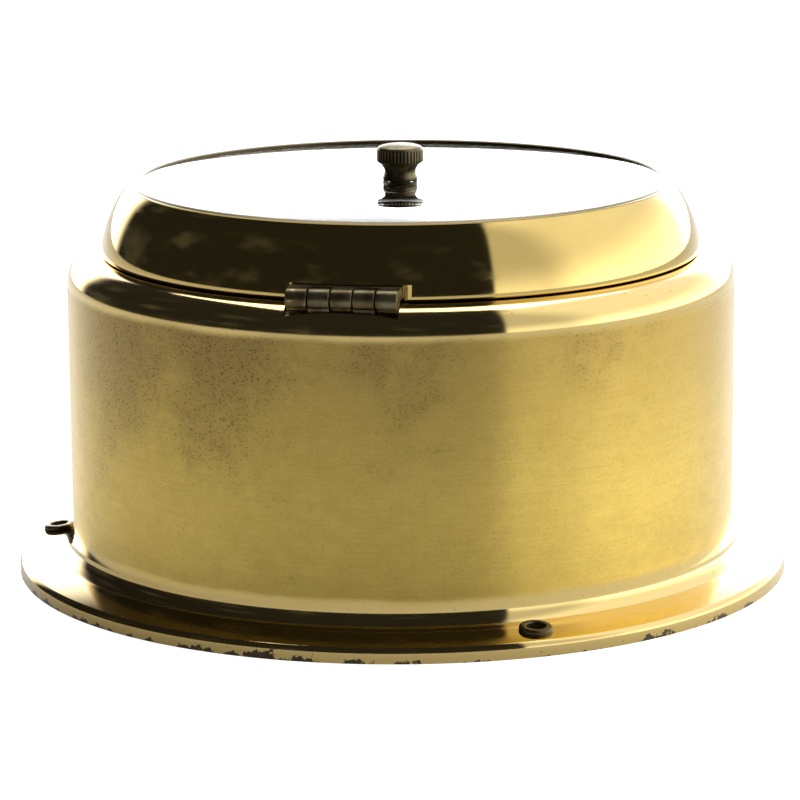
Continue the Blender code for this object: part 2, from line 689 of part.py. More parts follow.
def make_case_leaf(drum):
    top = TOP_UNDERSIDE - SEAT_GAP
    outer = HINGE_X + LEAF_INSET
    inner = outer + CASE_LEAF_DEPTH
    leaf = block(
        "hinge_case_leaf", "tarnished_brass",
        (outer, -HINGE_LENGTH / 2 + SEAT_GAP, top - LEAF), (inner, HINGE_LENGTH / 2 - SEAT_GAP, top),
    )
    for index in (1, 3):
        start, end = knuckle_span(index)
        web = block(f"case_web_{index}", None, (HINGE_X - 1.5, start, top - LEAF), (HINGE_X + 1.7, end, HINGE_Z))
        join(leaf, web, knuckle(f"case_knuckle_{index}", index))
    cut(leaf, pin_bore("case_pin_bore"))
    for number, side in enumerate((-1, 1), 1):
        place = (inner - LEAF_SCREW_INSET, side * LEAF_SCREW_SPREAD / 2, CASE_HEIGHT)
        up = (0, 0, 1)
        screw(f"case_leaf_screw_{number}", "tarnished_brass", LEAF_SCREW, place, up)
        cut(leaf, screw_hole(f"case_leaf_hole_{number}", LEAF_SCREW, place, up))
        cut(drum, screw_hole(f"drum_leaf_hole_{number}", LEAF_SCREW, place, up))


def make_lid_leaf(bezel):
    inner = leaf_inner_x()
    low_z = LIP_Z + LID_LEAF_LIFT
    top_z = low_z + LID_LEAF_HEIGHT
    leaf = block(
        "hinge_lid_leaf", "tarnished_brass",
        (inner - LEAF, -HINGE_LENGTH / 2, low_z), (inner, HINGE_LENGTH / 2, top_z), parent=lid_axis,
    )
    for index in (0, 2, 4):
        start, end = knuckle_span(index)
        web = block(f"lid_web_{index}", None, (HINGE_X, start, top_z - 1.3), (inner - LEAF / 2, end, top_z - 0.1))
        join(leaf, web, knuckle(f"lid_knuckle_{index}", index))
    cut(leaf, pin_bore("lid_pin_bore"))
    for number, side in enumerate((-1, 1), 1):
        place = (-SKIRT_INNER + 0.35, side * LID_SCREW_SPREAD / 2, low_z + 1.55)
        inwards = (1, 0, 0)
        screw(f"lid_leaf_screw_{number}", "tarnished_brass", LID_LEAF_SCREW, place, inwards, lid_axis)
        cut(leaf, screw_hole(f"lid_leaf_hole_{number}", LID_LEAF_SCREW, place, inwards, lid_axis))
        cut(bezel, screw_hole(f"bezel_leaf_hole_{number}", LID_LEAF_SCREW, place, inwards, lid_axis))


def make_hinge_pin():
    turned(
        "hinge_pin", "tarnished_brass", disc(HINGE_PIN, HINGE_LENGTH / 2, -HINGE_LENGTH / 2), SMALL_STEPS,
        place=(HINGE_X, 0, HINGE_Z), direction=(0, 1, 0),
    )


def make_catch(drum):
    """A bowed strip whose nose stands in the neck's slot and rubs the bezel's skirt."""
    foot_z = TOP_UNDERSIDE - SEAT_GAP - CATCH_THICKNESS / 2
    heel_x = NECK_INNER - SEAT_GAP - CATCH_THICKNESS / 2
    nose_x = SKIRT_INNER - SEAT_GAP - CATCH_THICKNESS / 2
    path = [
        (heel_x + CATCH_FOOT, foot_z), (heel_x, foot_z), (heel_x, CASE_HEIGHT + 1.3),
        (nose_x, NECK_TOP - 1.3), (heel_x, NECK_TOP + 0.3),
    ]
    body = bmesh.new()
    line = [body.verts.new((x, -CATCH_WIDTH / 2, z)) for x, z in path]
    edges = [body.edges.new(pair) for pair in zip(line, line[1:])]
    swept = bmesh.ops.extrude_edge_only(body, edges=edges)["geom"]
    moved = [item for item in swept if isinstance(item, bmesh.types.BMVert)]
    bmesh.ops.translate(body, vec=(0, CATCH_WIDTH, 0), verts=moved)
    mesh = bpy.data.meshes.new("catch_spring")
    body.to_mesh(mesh)
    body.free()
    spring = add_object("catch_spring", mesh, "bronze")
    thick = spring.modifiers.new("strip", "SOLIDIFY")
    thick.thickness = m(CATCH_THICKNESS)
    thick.offset = 0
    place = (heel_x + CATCH_SCREW_INSET, 0, CASE_HEIGHT)
    up = (0, 0, 1)
    screw("catch_screw", "tarnished_brass", LEAF_SCREW, place, up)
    cut(spring, screw_hole("catch_hole", LEAF_SCREW, place, up))
    cut(drum, screw_hole("drum_catch_hole", LEAF_SCREW, place, up))


# ================================================================ course pointer
def make_knob():
    top = KNOB_Z + KNOB_HEIGHT
    band_top = top - KNOB_DOME
    band_bottom = band_top - KNOB_BAND
    neck_z = KNOB_Z + (band_bottom - KNOB_Z) * KNOB_NECK_SHARE
    bore = SPINDLE + SEAT_GAP
    recess = BUSH_FLANGE + SEAT_GAP
    dome = [(KNOB_RADIUS * math.sin(math.radians(turn)), top - KNOB_DOME * (turn / 90) ** 2) for turn in (0, 30, 60)]
    profile = dome + [
        (KNOB_RADIUS - 0.2, band_top + 0.15),
        (KNOB_RADIUS, band_top - 0.15),
        (KNOB_RADIUS, band_bottom),
        (KNOB_RADIUS - 0.9, band_bottom - 0.6),
        (KNOB_NECK + 0.2, neck_z + 1.0),
        (KNOB_NECK, neck_z),
        (KNOB_NECK + 0.1, neck_z - 0.9),
        (KNOB_FOOT, KNOB_Z + 0.5),
        (KNOB_FOOT, KNOB_Z),
        (recess, KNOB_Z),
        (recess, BUSH_FLANGE_TOP + SEAT_GAP),
        (bore, BUSH_FLANGE_TOP + SEAT_GAP),
        (bore, band_bottom),
        (0, band_bottom),
    ]
    knob = turned("course_knob", "tarnished_brass", profile, KNOB_FLUTES * 2, parent=pointer_axis)
    apply_modifiers(knob)
    for vertex in knob.data.vertices:
        radius = math.hypot(vertex.co.x, vertex.co.y)
        tooth = round(math.atan2(vertex.co.y, vertex.co.x) / math.pi * KNOB_FLUTES)
        if tooth % 2 and abs(radius - m(KNOB_RADIUS)) < m(0.01):
            vertex.co.xy *= 1 - KNOB_FLUTE_DEPTH / KNOB_RADIUS
    knob.data.set_sharp_from_angle(angle=math.radians(30))


def make_spindle():
    end = HUB_BOTTOM + POINTER_HUB_HEIGHT / 2
    spindle = turned(
        "pointer_spindle", "tarnished_brass",
        disc(SPINDLE, KNOB_Z + KNOB_HEIGHT - KNOB_DOME - KNOB_BAND - SEAT_GAP, end), SMALL_STEPS, parent=pointer_axis,
    )
    place = (0, 0, HUB_BOTTOM - SEAT_GAP)
    down = (0, 0, -1)
    screw("pointer_screw", "steel", POINTER_SCREW, place, down, pointer_axis)
    cut(spindle, screw_hole("spindle_tapping", POINTER_SCREW, place, down, pointer_axis))


def make_bush():
    bore = SPINDLE + RUNNING_GAP
    profile = [
        (BUSH_FLANGE, BUSH_FLANGE_TOP),
        (BUSH_FLANGE, GLASS_TOP + SEAT_GAP),
        (BUSH_RADIUS, GLASS_TOP + SEAT_GAP),
        (BUSH_RADIUS, BUSH_BOTTOM),
        (bore, BUSH_BOTTOM),
        (bore, BUSH_FLANGE_TOP),
    ]
    turned("pointer_bush", "tarnished_brass", profile, SMALL_STEPS, parent=lid_axis)
    nut = ring(BUSH_NUT_RADIUS, BUSH_RADIUS + SEAT_GAP, BUSH_NUT_TOP, BUSH_NUT_BOTTOM)
    bush_nut = turned("bush_nut", "tarnished_brass", nut, SMALL_STEPS, parent=lid_axis)
    flat = BUSH_NUT_RADIUS * math.cos(math.radians(30))
    for index in range(6):
        turn = math.radians(index * 60)
        place = Vector((math.cos(turn), math.sin(turn), 0))
        side = block(f"nut_flat_{index}", None, (flat, -4, BUSH_NUT_BOTTOM - 1), (flat + 3, 4, BUSH_NUT_TOP + 1))
        side.location = place * m(flat + 1.5) + Vector((0, 0, side.location.z))
        side.rotation_euler.z = turn
        cut(bush_nut, side)
    washer = [
        (POINTER_HUB, WASHER_TOP - 0.1), (POINTER_HUB, WASHER_TOP - WASHER),
        (SPINDLE + SEAT_GAP, WASHER_TOP - WASHER + 0.1), (SPINDLE + SEAT_GAP, WASHER_TOP),
    ]
    turned("spring_washer", "bronze", washer, SMALL_STEPS, parent=pointer_axis)


def make_pointer():
    hub = ring(POINTER_HUB, SPINDLE + RUNNING_GAP, POINTER_TOP, HUB_BOTTOM + POINTER_HUB_HEIGHT / 2 - SEAT_GAP)
    end_wall = ring(POINTER_HUB, POINTER_SCREW.shank + SEAT_GAP, hub[1][1], HUB_BOTTOM)
    profile = [hub[0], end_wall[1], end_wall[2], (end_wall[3][0], hub[1][1]), hub[2], hub[3]]
    pointer = turned("course_pointer", "tarnished_brass", profile, SMALL_STEPS, parent=pointer_axis)
    half = POINTER_WIDTH / 2
    tail = arc((0, -POINTER_TAIL), half * 1.6, 150, 390, 6)
    outline = [(half * 0.5, POINTER_LENGTH - 8), (0, POINTER_LENGTH), (-half * 0.5, POINTER_LENGTH - 8), (-half, 0)]
    height = POINTER_TOP - POINTER_PLATE / 2 - 0.2
    arm = plate("pointer_arm", None, outline + tail + [(half, 0)], POINTER_PLATE, place=(0, 0, height))
    join(pointer, arm)
    cut(pointer, turned("arm_bore", None, disc(SPINDLE + RUNNING_GAP, POINTER_TOP + 1, hub[1][1]), SMALL_STEPS))


# ================================================================ gimbals
def pivot_profile(length):
    return [
        (0, PIVOT_HEAD_THICKNESS), (PIVOT_HEAD, PIVOT_HEAD_THICKNESS), (PIVOT_HEAD, 0),
        (PIVOT_RADIUS, 0), (PIVOT_RADIUS, -length), (0, -length),
    ]


def pivot_screw(name, at, outwards, length, parent=None):
    pivot = turned(
        name, "steel", pivot_profile(length), SCREW_STEPS, parent=parent, place=at, direction=outwards,
    )
    slot = block(
        name + "_slot", None,
        (-PIVOT_HEAD - 1, -0.35, PIVOT_HEAD_THICKNESS * 0.5), (PIVOT_HEAD + 1, 0.35, PIVOT_HEAD_THICKNESS + 1),
    )
    turn_with(slot, pivot)
    cut(pivot, slot)


def cross_bore(name, radius, at, direction, length, parent=None):
    return turned(name, None, disc(radius, length, -length), SMALL_STEPS, parent=parent, place=at, direction=direction)


def make_gimbal_posts(back):
    base = BACK_TOP + SEAT_GAP
    for name, side in (("fore", 1), ("aft", -1)):
        spans = sorted((side * POST_INNER, side * POST_OUTER))
        post = block(
            f"gimbal_post_{name}", "polished_brass",
            (-POST_WIDTH / 2, spans[0], base), (POST_WIDTH / 2, spans[1], GIMBAL_HEIGHT),
        )
        head = turned(
            f"post_head_{name}", None, disc(POST_WIDTH / 2, POST_THICKNESS / 2, -POST_THICKNESS / 2), SMALL_STEPS,
            place=(0, side * (POST_INNER + POST_THICKNESS / 2), GIMBAL_HEIGHT), direction=(0, 1, 0),
        )
        foot_end = side * (POST_INNER + POST_FOOT)
        foot_spans = sorted((side * (POST_INNER + POST_THICKNESS / 2), foot_end))
        foot = block(
            f"post_foot_{name}", None,
            (-POST_WIDTH / 2, foot_spans[0], base), (POST_WIDTH / 2, foot_spans[1], base + POST_THICKNESS),
        )
        axis_point = (0, side * POST_INNER, GIMBAL_HEIGHT)
        join(post, head, foot)
        bore = cross_bore(f"post_bore_{name}", PIVOT_RADIUS + SEAT_GAP, axis_point, (0, 1, 0), POST_WIDTH / 2)
        cut(post, bore)
        head_face = (0, side * (POST_OUTER + SEAT_GAP), GIMBAL_HEIGHT)
        length = POST_OUTER + SEAT_GAP - GIMBAL_INNER - 0.5
        pivot_screw(f"roll_pivot_{name}", head_face, (0, side, 0), length)
        for number, across in enumerate((-1, 1), 1):
            middle = (POST_OUTER + POST_INNER + POST_FOOT) / 2
            place = (across * POST_SCREW_SPREAD / 2, side * middle, base + POST_THICKNESS + SEAT_GAP)
            up = (0, 0, 1)
            screw(f"post_screw_{name}_{number}", "tarnished_brass", FOOT_SCREW, place, up)
            cut(post, screw_hole(f"foot_hole_{name}_{number}", FOOT_SCREW, place, up))
            cut(back, screw_hole(f"plate_hole_{name}_{number}", FOOT_SCREW, place, up))


def make_gimbal_ring():
    half = GIMBAL_DEPTH / 2
    gimbal = turned(
        "gimbal_ring", "polished_brass",
        ring(GIMBAL_OUTER, GIMBAL_INNER, GIMBAL_HEIGHT + half, GIMBAL_HEIGHT - half), parent=roll_axis,
    )
    for name, side in (("fore", 1), ("aft", -1)):
        place = (0, side * GIMBAL_INNER, GIMBAL_HEIGHT)
        running = PIVOT_RADIUS + RUNNING_GAP
        cut(gimbal, cross_bore(f"ring_bore_{name}", running, place, (0, 1, 0), GIMBAL_WALL * 2, roll_axis))
    for name, side in (("port", -1), ("starboard", 1)):
        place = (side * GIMBAL_INNER, 0, GIMBAL_HEIGHT)
        seated = PIVOT_RADIUS + SEAT_GAP
        cut(gimbal, cross_bore(f"ring_bore_{name}", seated, place, (1, 0, 0), GIMBAL_WALL * 2, roll_axis))
        head_face = (side * (GIMBAL_OUTER + SEAT_GAP), 0, GIMBAL_HEIGHT)
        length = GIMBAL_OUTER + SEAT_GAP - RIM_RADIUS + 2.0
        pivot_screw(f"pitch_pivot_{name}", head_face, (side, 0, 0), length, roll_axis)


# ================================================================ bowl
def make_bowl():
    corner = (BOWL_RADIUS - BOWL_CORNER, BOWL_BASE + BOWL_CORNER)
    inner_corner = BOWL_CORNER - BOWL_WALL
    recess_z = BOWL_BASE + CHAMBER_RECESS
    profile = [(RIM_RADIUS, RIM_Z), (RIM_RADIUS, RIM_UNDERSIDE), (BOWL_RADIUS, RIM_UNDERSIDE)]
    profile += arc(corner, BOWL_CORNER, 0, -90, 3)
    profile += [(CHAMBER_BOSS_OUTER, BOWL_BASE), (CHAMBER_BOSS_OUTER, BOSS_BOTTOM)]
    profile += [(CHAMBER_BOSS_INNER, BOSS_BOTTOM), (CHAMBER_BOSS_INNER, BOWL_BASE), (CHAMBER_RADIUS, recess_z)]
    profile += [(0, recess_z)]
    inside_corner = (BOWL_INNER - inner_corner, FLOOR_Z + inner_corner)
    inside = [(BOWL_SEAT, RIM_Z), (BOWL_SEAT, SEAT_FLOOR), (BOWL_INNER, SEAT_FLOOR)]
    inside += arc(inside_corner, inner_corner, 0, -90, 2)
    inside += [(0, FLOOR_Z)]
    bowl = turned("compass_bowl", "black_paint", list(reversed(inside)) + profile, parent=pitch_axis)
    middle = (BOWL_INNER + RIM_RADIUS) / 2 + 1
    half = (RIM_RADIUS - BOWL_INNER) / 2
    for name, side in (("port", -1), ("starboard", 1)):
        place = (side * middle, 0, GIMBAL_HEIGHT)
        boss = turned(
            f"trunnion_{name}", None, disc(TRUNNION_RADIUS, half, -half), SMALL_STEPS,
            parent=pitch_axis, place=place, direction=(side, 0, 0),
        )
        join(bowl, boss)
    for name, side in (("port", -1), ("starboard", 1)):
        place = (side * (RIM_RADIUS - 2.5), 0, GIMBAL_HEIGHT)
        bore = disc(PIVOT_RADIUS + RUNNING_GAP, half + 3, 0)
        tool = turned(
            f"trunnion_bore_{name}", None, bore, SMALL_STEPS, parent=pitch_axis, place=place, direction=(side, 0, 0),
        )
        cut(bowl, tool)
    for index in range(4):
        place = around(CHAMBER_RADIUS - BLEED_INSET, 45 + index * 90, FLOOR_Z)
        bleed = disc(BLEED_RADIUS, 2, -BOWL_FLOOR)
        cut(bowl, turned(f"bleed_hole_{index}", None, bleed, SCREW_STEPS, parent=pitch_axis, place=place))
    return bowl


def make_bowl_glazing(bowl):
    radius = BOWL_SEAT - SEAT_GAP
    turned("bowl_glass", "glass", disc(radius, BOWL_GLASS_TOP, BOWL_GLASS_BOTTOM), parent=pitch_axis)
    gasket = ring(radius, BOWL_INNER, BOWL_GASKET_TOP, BOWL_GASKET_BOTTOM)
    turned("bowl_gasket", "rubber", gasket, parent=pitch_axis)
    verge = turned(
        "verge_ring", "polished_brass", ring(RIM_RADIUS, BOWL_INNER, VERGE_TOP, VERGE_BOTTOM), parent=pitch_axis,
    )
    for index in range(VERGE_SCREWS):
        place = around(VERGE_SCREW_RADIUS, 45 + index * 360 / VERGE_SCREWS, VERGE_TOP)
        up = (0, 0, 1)
        screw(f"verge_screw_{index + 1}", "polished_brass", VERGE_SCREW, place, up, pitch_axis)
        cut(verge, screw_hole(f"verge_hole_{index + 1}", VERGE_SCREW, place, up, pitch_axis))
        cut(bowl, screw_hole(f"rim_hole_{index + 1}", VERGE_SCREW, place, up, pitch_axis))


def make_chamber():
    """The expansion chamber under the bowl: a thin corrugated diaphragm, held by a threaded cap."""
    edge = CHAMBER_BOSS_INNER - DIAPHRAGM_LAND
    waves = [(edge, 0)]
    for index, share in enumerate(WAVE_SHARES):
        waves.append((edge * share, DIAPHRAGM_WAVE if index % 2 else -DIAPHRAGM_WAVE))
    rim = CHAMBER_BOSS_OUTER - SEAT_GAP
    upper = [(rim, 0), (rim, -DIAPHRAGM)]
    lower = [(radius, wave - DIAPHRAGM) for radius, wave in waves] + [(0, -DIAPHRAGM)]
    back = [(0, 0)] + [(radius, wave) for radius, wave in reversed(waves)]
    profile = [(r, DIAPHRAGM_TOP + z) for r, z in back + upper + lower]
    turned("expansion_diaphragm", "bronze", profile, CHAMBER_STEPS, parent=pitch_axis)
    flange_top = CAP_BOTTOM + CAP_FLANGE_THICKNESS
    cap = [
        (CAP_RADIUS, BOWL_BASE - SEAT_GAP),
        (CAP_RADIUS, flange_top),
        (CAP_FLANGE, flange_top),
        (CAP_FLANGE, CAP_BOTTOM),
        (1.0, CAP_BOTTOM),
        (1.0, CAP_BOTTOM + CAP_FLOOR),
        (CHAMBER_RADIUS, CAP_BOTTOM + CAP_FLOOR),
        (CHAMBER_BOSS_INNER, CAP_LAND),
        (CAP_BORE, CAP_LAND),
        (CAP_BORE, BOWL_BASE - SEAT_GAP),
    ]
    turned("chamber_cap", "satin_brass", cap, CHAMBER_STEPS, parent=pitch_axis)
    weight = ring(BALANCE_RADIUS, CAP_RADIUS + SEAT_GAP, BOWL_BASE - SEAT_GAP, flange_top + SEAT_GAP)
    turned("balance_ring", "lead", weight, CHAMBER_STEPS, parent=pitch_axis)


def make_filler(bowl):
    outwards = Vector(around(1, 45, 0))
    place = outwards * (BOWL_RADIUS + SEAT_GAP) + Vector((0, 0, GIMBAL_HEIGHT - FILLER_DROP))
    profile = [
        (0, 2), (FILLER_HEAD, 2), (FILLER_HEAD, 0.2), (FILLER_RADIUS, 0.2),
        (FILLER_RADIUS, -BOWL_WALL), (0, -BOWL_WALL),
    ]
    turned("filler_plug", "polished_brass", profile, SMALL_STEPS, parent=pitch_axis, place=place, direction=outwards)
    hole = disc(FILLER_RADIUS + SEAT_GAP, 3, -BOWL_WALL - 2)
    cut(bowl, turned("filler_hole", None, hole, SMALL_STEPS, parent=pitch_axis, place=place, direction=outwards))


def make_lubber_line():
    outer = BOWL_INNER - SEAT_GAP
    thickness = min(1.2, (BOWL_INNER - CARD_RADIUS) * 0.4)
    block(
        "lubber_line", "black_paint",
        (-LUBBER_WIDTH / 2, outer - thickness, GIMBAL_HEIGHT - LUBBER_DROP), (LUBBER_WIDTH / 2, outer, SEAT_FLOOR - SEAT_GAP),
        parent=pitch_axis,
    )


def make_pivot_post(bowl):
    foot_z = FLOOR_Z + SEAT_GAP
    tip = GIMBAL_HEIGHT + PIVOT_TIP
    stud_end = FLOOR_Z - STUD_LENGTH
    foot_top = foot_z + POST_FOOT_HEIGHT
    profile = [
        (0, tip), (PIVOT_POINT, tip - 0.6), (PIVOT_COLUMN, tip - PIVOT_TAPER), (PIVOT_COLUMN, foot_top),
        (POST_FOOT_RADIUS, foot_top), (POST_FOOT_RADIUS, foot_z), (STUD_RADIUS, foot_z), (STUD_RADIUS, stud_end),
        (0, stud_end),
    ]
    turned("pivot_post", "steel", profile, SMALL_STEPS, parent=pitch_axis)
    hole = disc(STUD_RADIUS + SEAT_GAP, FLOOR_Z + 1, stud_end - SEAT_GAP)
    cut(bowl, turned("stud_hole", None, hole, SMALL_STEPS, parent=pitch_axis))


# ================================================================ card
def make_card():
    card_top = CARD_Z + CARD_THICKNESS
    hole = JEWEL_RADIUS + SEAT_GAP
    turned("compass_card", "white_enamel", ring(CARD_RADIUS, hole, card_top, CARD_Z), parent=card_axis)
    shell = [
        (hole, FLOAT_TOP), (FLOAT_RADIUS - 1, FLOAT_TOP), (FLOAT_RADIUS, FLOAT_TOP - 1), (FLOAT_RADIUS, FLOAT_BOTTOM),
        (FLOAT_RADIUS - FLOAT_WALL, FLOAT_BOTTOM), (FLOAT_RADIUS - FLOAT_WALL, FLOAT_TOP - 1.2),
        (FLOAT_RADIUS - FLOAT_WALL - 0.6, FLOAT_TOP - FLOAT_WALL), (hole, FLOAT_TOP - FLOAT_WALL),
    ]
    turned("card_float", "bronze", shell, CHAMBER_STEPS, parent=card_axis)
    tip = GIMBAL_HEIGHT + PIVOT_TIP
    rim_z = FLOAT_TOP - FLOAT_WALL - SEAT_GAP
    jewel = [
        (0, card_top + 0.6), (JEWEL_RADIUS, card_top + 0.6), (JEWEL_RADIUS, rim_z), (JEWEL_RADIUS + 1, rim_z),
        (JEWEL_RADIUS + 1, rim_z - 0.9), (JEWEL_RADIUS, tip - 1.6), (1.5, tip - 1.6), (0, tip + SEAT_GAP),
    ]
    turned("jewel_cup", "jewel", jewel, SMALL_STEPS, parent=card_axis)
    top = FLOAT_BOTTOM - SEAT_GAP
    for name, side in (("port", -1), ("starboard", 1)):
        spans = (side * MAGNET_SPACING - MAGNET_SIDE / 2, side * MAGNET_SPACING + MAGNET_SIDE / 2)
        block(
            f"card_magnet_{name}", "steel",
            (spans[0], -MAGNET_LENGTH / 2, top - MAGNET_SIDE), (spans[1], MAGNET_LENGTH / 2, top),
            bevel=0.3, parent=card_axis,
        )


def main():
    drum = make_case_drum()
    back = make_back_plate(drum)
    make_ferrules(drum)
    bezel = make_bezel()
    make_lid_glazing()
    make_case_leaf(drum)
    make_lid_leaf(bezel)
    make_hinge_pin()
    make_catch(drum)
    make_knob()
    make_spindle()
    make_bush()
    make_pointer()
    make_gimbal_posts(back)
    make_gimbal_ring()
    bowl = make_bowl()
    make_bowl_glazing(bowl)
    make_chamber()
    make_filler(bowl)
    make_lubber_line()
    make_pivot_post(bowl)
    make_card()


main()
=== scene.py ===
import json
import math

import bpy
from mathutils import Matrix, Vector


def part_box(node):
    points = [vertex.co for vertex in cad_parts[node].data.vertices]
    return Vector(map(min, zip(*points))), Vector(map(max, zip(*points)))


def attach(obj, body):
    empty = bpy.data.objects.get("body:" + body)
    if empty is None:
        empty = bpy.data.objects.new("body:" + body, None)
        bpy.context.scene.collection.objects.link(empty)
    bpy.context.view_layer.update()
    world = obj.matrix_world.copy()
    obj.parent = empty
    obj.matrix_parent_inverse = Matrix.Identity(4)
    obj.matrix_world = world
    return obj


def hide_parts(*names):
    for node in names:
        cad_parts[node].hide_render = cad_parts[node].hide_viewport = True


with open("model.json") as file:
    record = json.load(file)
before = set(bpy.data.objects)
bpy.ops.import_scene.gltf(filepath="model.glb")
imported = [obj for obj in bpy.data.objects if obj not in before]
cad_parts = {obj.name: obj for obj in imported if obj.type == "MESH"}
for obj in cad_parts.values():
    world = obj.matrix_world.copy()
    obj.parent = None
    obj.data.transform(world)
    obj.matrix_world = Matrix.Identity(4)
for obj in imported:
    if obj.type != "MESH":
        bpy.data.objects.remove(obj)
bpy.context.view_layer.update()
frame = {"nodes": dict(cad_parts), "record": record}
mm = 0.001
print("frame loaded:", len(frame["nodes"]), "nodes")


# modelling helpers

def deselectAll():
    if bpy.context.object and bpy.context.object.mode != "OBJECT":
        bpy.ops.object.mode_set(mode="OBJECT")
    bpy.ops.object.select_all(action="DESELECT")


def pick(piece):
    deselectAll()
    piece.select_set(True)
    bpy.context.view_layer.objects.active = piece


def takeNew(name):
    piece = bpy.context.object
    piece.name = name
    piece.data.name = name
    return piece


# corners are (radius, height) or (radius, height, rounding), in millimetres; a rounded corner
# becomes an arc
def roundedOutline(corners):
    outline = []
    for index, corner in enumerate(corners):
        here = Vector(corner[:2])
        rounding = corner[2] if len(corner) > 2 else 0
        if not rounding:
            outline.append(here)
            continue
        before = (Vector(corners[index - 1][:2]) - here).normalized()
        after = (Vector(corners[(index + 1) % len(corners)][:2]) - here).normalized()
        half = before.angle(after) / 2
        centre = here + (before + after).normalized() * rounding / math.sin(half)
        start = (here + before * rounding / math.tan(half) - centre).normalized()
        end = (here + after * rounding / math.tan(half) - centre).normalized()
        steps = 4 + int(rounding * 2)
        for step in range(steps + 1):
            outline.append(centre + start.slerp(end, step / steps) * rounding)
    return outline


# draws the outline by extruding a point, then spins it round the Z axis
def lathe(name, corners, steps=192, closed=True):
    outline = roundedOutline(corners)
    if closed:
        outline.append(outline[0])
    deselectAll()
    bpy.ops.mesh.primitive_plane_add(size=mm)
    piece = takeNew(name)
    bpy.ops.object.mode_set(mode="EDIT")
    bpy.ops.mesh.select_all(action="SELECT")
    bpy.ops.mesh.merge(type="CENTER")
    bpy.ops.transform.translate(value=(outline[0].x * mm, 0, outline[0].y * mm))
    for here, there in zip(outline, outline[1:]):
        travel = (there - here) * mm
        step = {"value": (travel.x, 0, travel.y)}
        bpy.ops.mesh.extrude_region_move(TRANSFORM_OT_translate=step)
    bpy.ops.mesh.select_all(action="SELECT")
    bpy.ops.mesh.spin(steps=steps, angle=math.tau, center=(0, 0, 0), axis=(0, 0, 1))
    bpy.ops.mesh.select_all(action="SELECT")
    bpy.ops.mesh.remove_doubles(threshold=0.002 * mm)
    bpy.ops.mesh.normals_make_consistent(inside=False)
    bpy.ops.object.mode_set(mode="OBJECT")
    return piece


# a box between two corners, in millimetres
def block(name, low, high, edge=0.0):
    deselectAll()
    centre = [(a + b) / 2 * mm for a, b in zip(low, high)]
    sides = [(b - a) * mm for a, b in zip(low, high)]
    bpy.ops.mesh.primitive_cube_add(size=1, location=centre, scale=sides)
    piece = takeNew(name)
    bpy.ops.object.transform_apply(location=True, rotation=True, scale=True)
    if edge:
        bpy.ops.object.mode_set(mode="EDIT")
        bpy.ops.mesh.select_all(action="SELECT")
        bpy.ops.mesh.bevel(offset=edge * mm, segments=3, affect="EDGES")
        bpy.ops.object.mode_set(mode="OBJECT")
    return piece


# moves the mesh, so that the object itself stays at the origin
def move(piece, matrix):
    piece.data.transform(matrix)
    return piece


def copyOf(piece, name, matrix):
    twin = piece.copy()
    twin.data = piece.data.copy()
    twin.name = twin.data.name = name
    bpy.context.scene.collection.objects.link(twin)
    return move(twin, matrix)


# cuts or joins with Boolean modifiers, applied one after another
def boolean(piece, tools, operation="DIFFERENCE"):
    pick(piece)
    for tool in tools:
        modifier = piece.modifiers.new("shape", "BOOLEAN")
        modifier.operation = operation
        modifier.solver = "EXACT"
        modifier.object = tool
        bpy.ops.object.modifier_apply(modifier=modifier.name)
        bpy.data.objects.remove(tool)
    return piece


# a plain cylinder between two points, in millimetres
def rod(name, radius, start, end, steps=48):
    axis = Vector(end) - Vector(start)
    length = axis.length
    corners = [(0, 0), (radius, 0), (radius, length), (0, length)]
    piece = lathe(name, corners, steps, closed=False)
    turn = axis.to_track_quat("Z", "Y").to_matrix().to_4x4()
    return move(piece, Matrix.Translation(Vector(start) * mm) @ turn)


def smooth(piece, degrees=32):
    pick(piece)
    bpy.ops.object.shade_smooth_by_angle(angle=math.radians(degrees))


def aroundZ(degrees):
    return Matrix.Rotation(math.radians(degrees), 4, "Z")


# finishes a piece: shading, material, body and the CAD nodes it stands for
def done(piece, material, body, nodes, degrees=32):
    smooth(piece, degrees)
    piece.data.materials.clear()
    piece.data.materials.append(material)
    if nodes:
        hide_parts(*nodes)
    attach(piece, body)


# shader helpers

class Value:
    # a number that varies over a surface; arithmetic on it adds Math nodes
    def __init__(self, sheet, socket):
        self.sheet = sheet
        self.socket = socket

    def maths(self, operation, first, second):
        return self.sheet.node("ShaderNodeMath", {"operation": operation}, first, second)

    def __add__(self, other):
        return self.maths("ADD", self, other)

    def __sub__(self, other):
        return self.maths("SUBTRACT", self, other)

    def __rsub__(self, other):
        return self.maths("SUBTRACT", other, self)

    def __mul__(self, other):
        return self.maths("MULTIPLY", self, other)

    def __truediv__(self, other):
        return self.maths("DIVIDE", self, other)

    __radd__ = __add__
    __rmul__ = __mul__


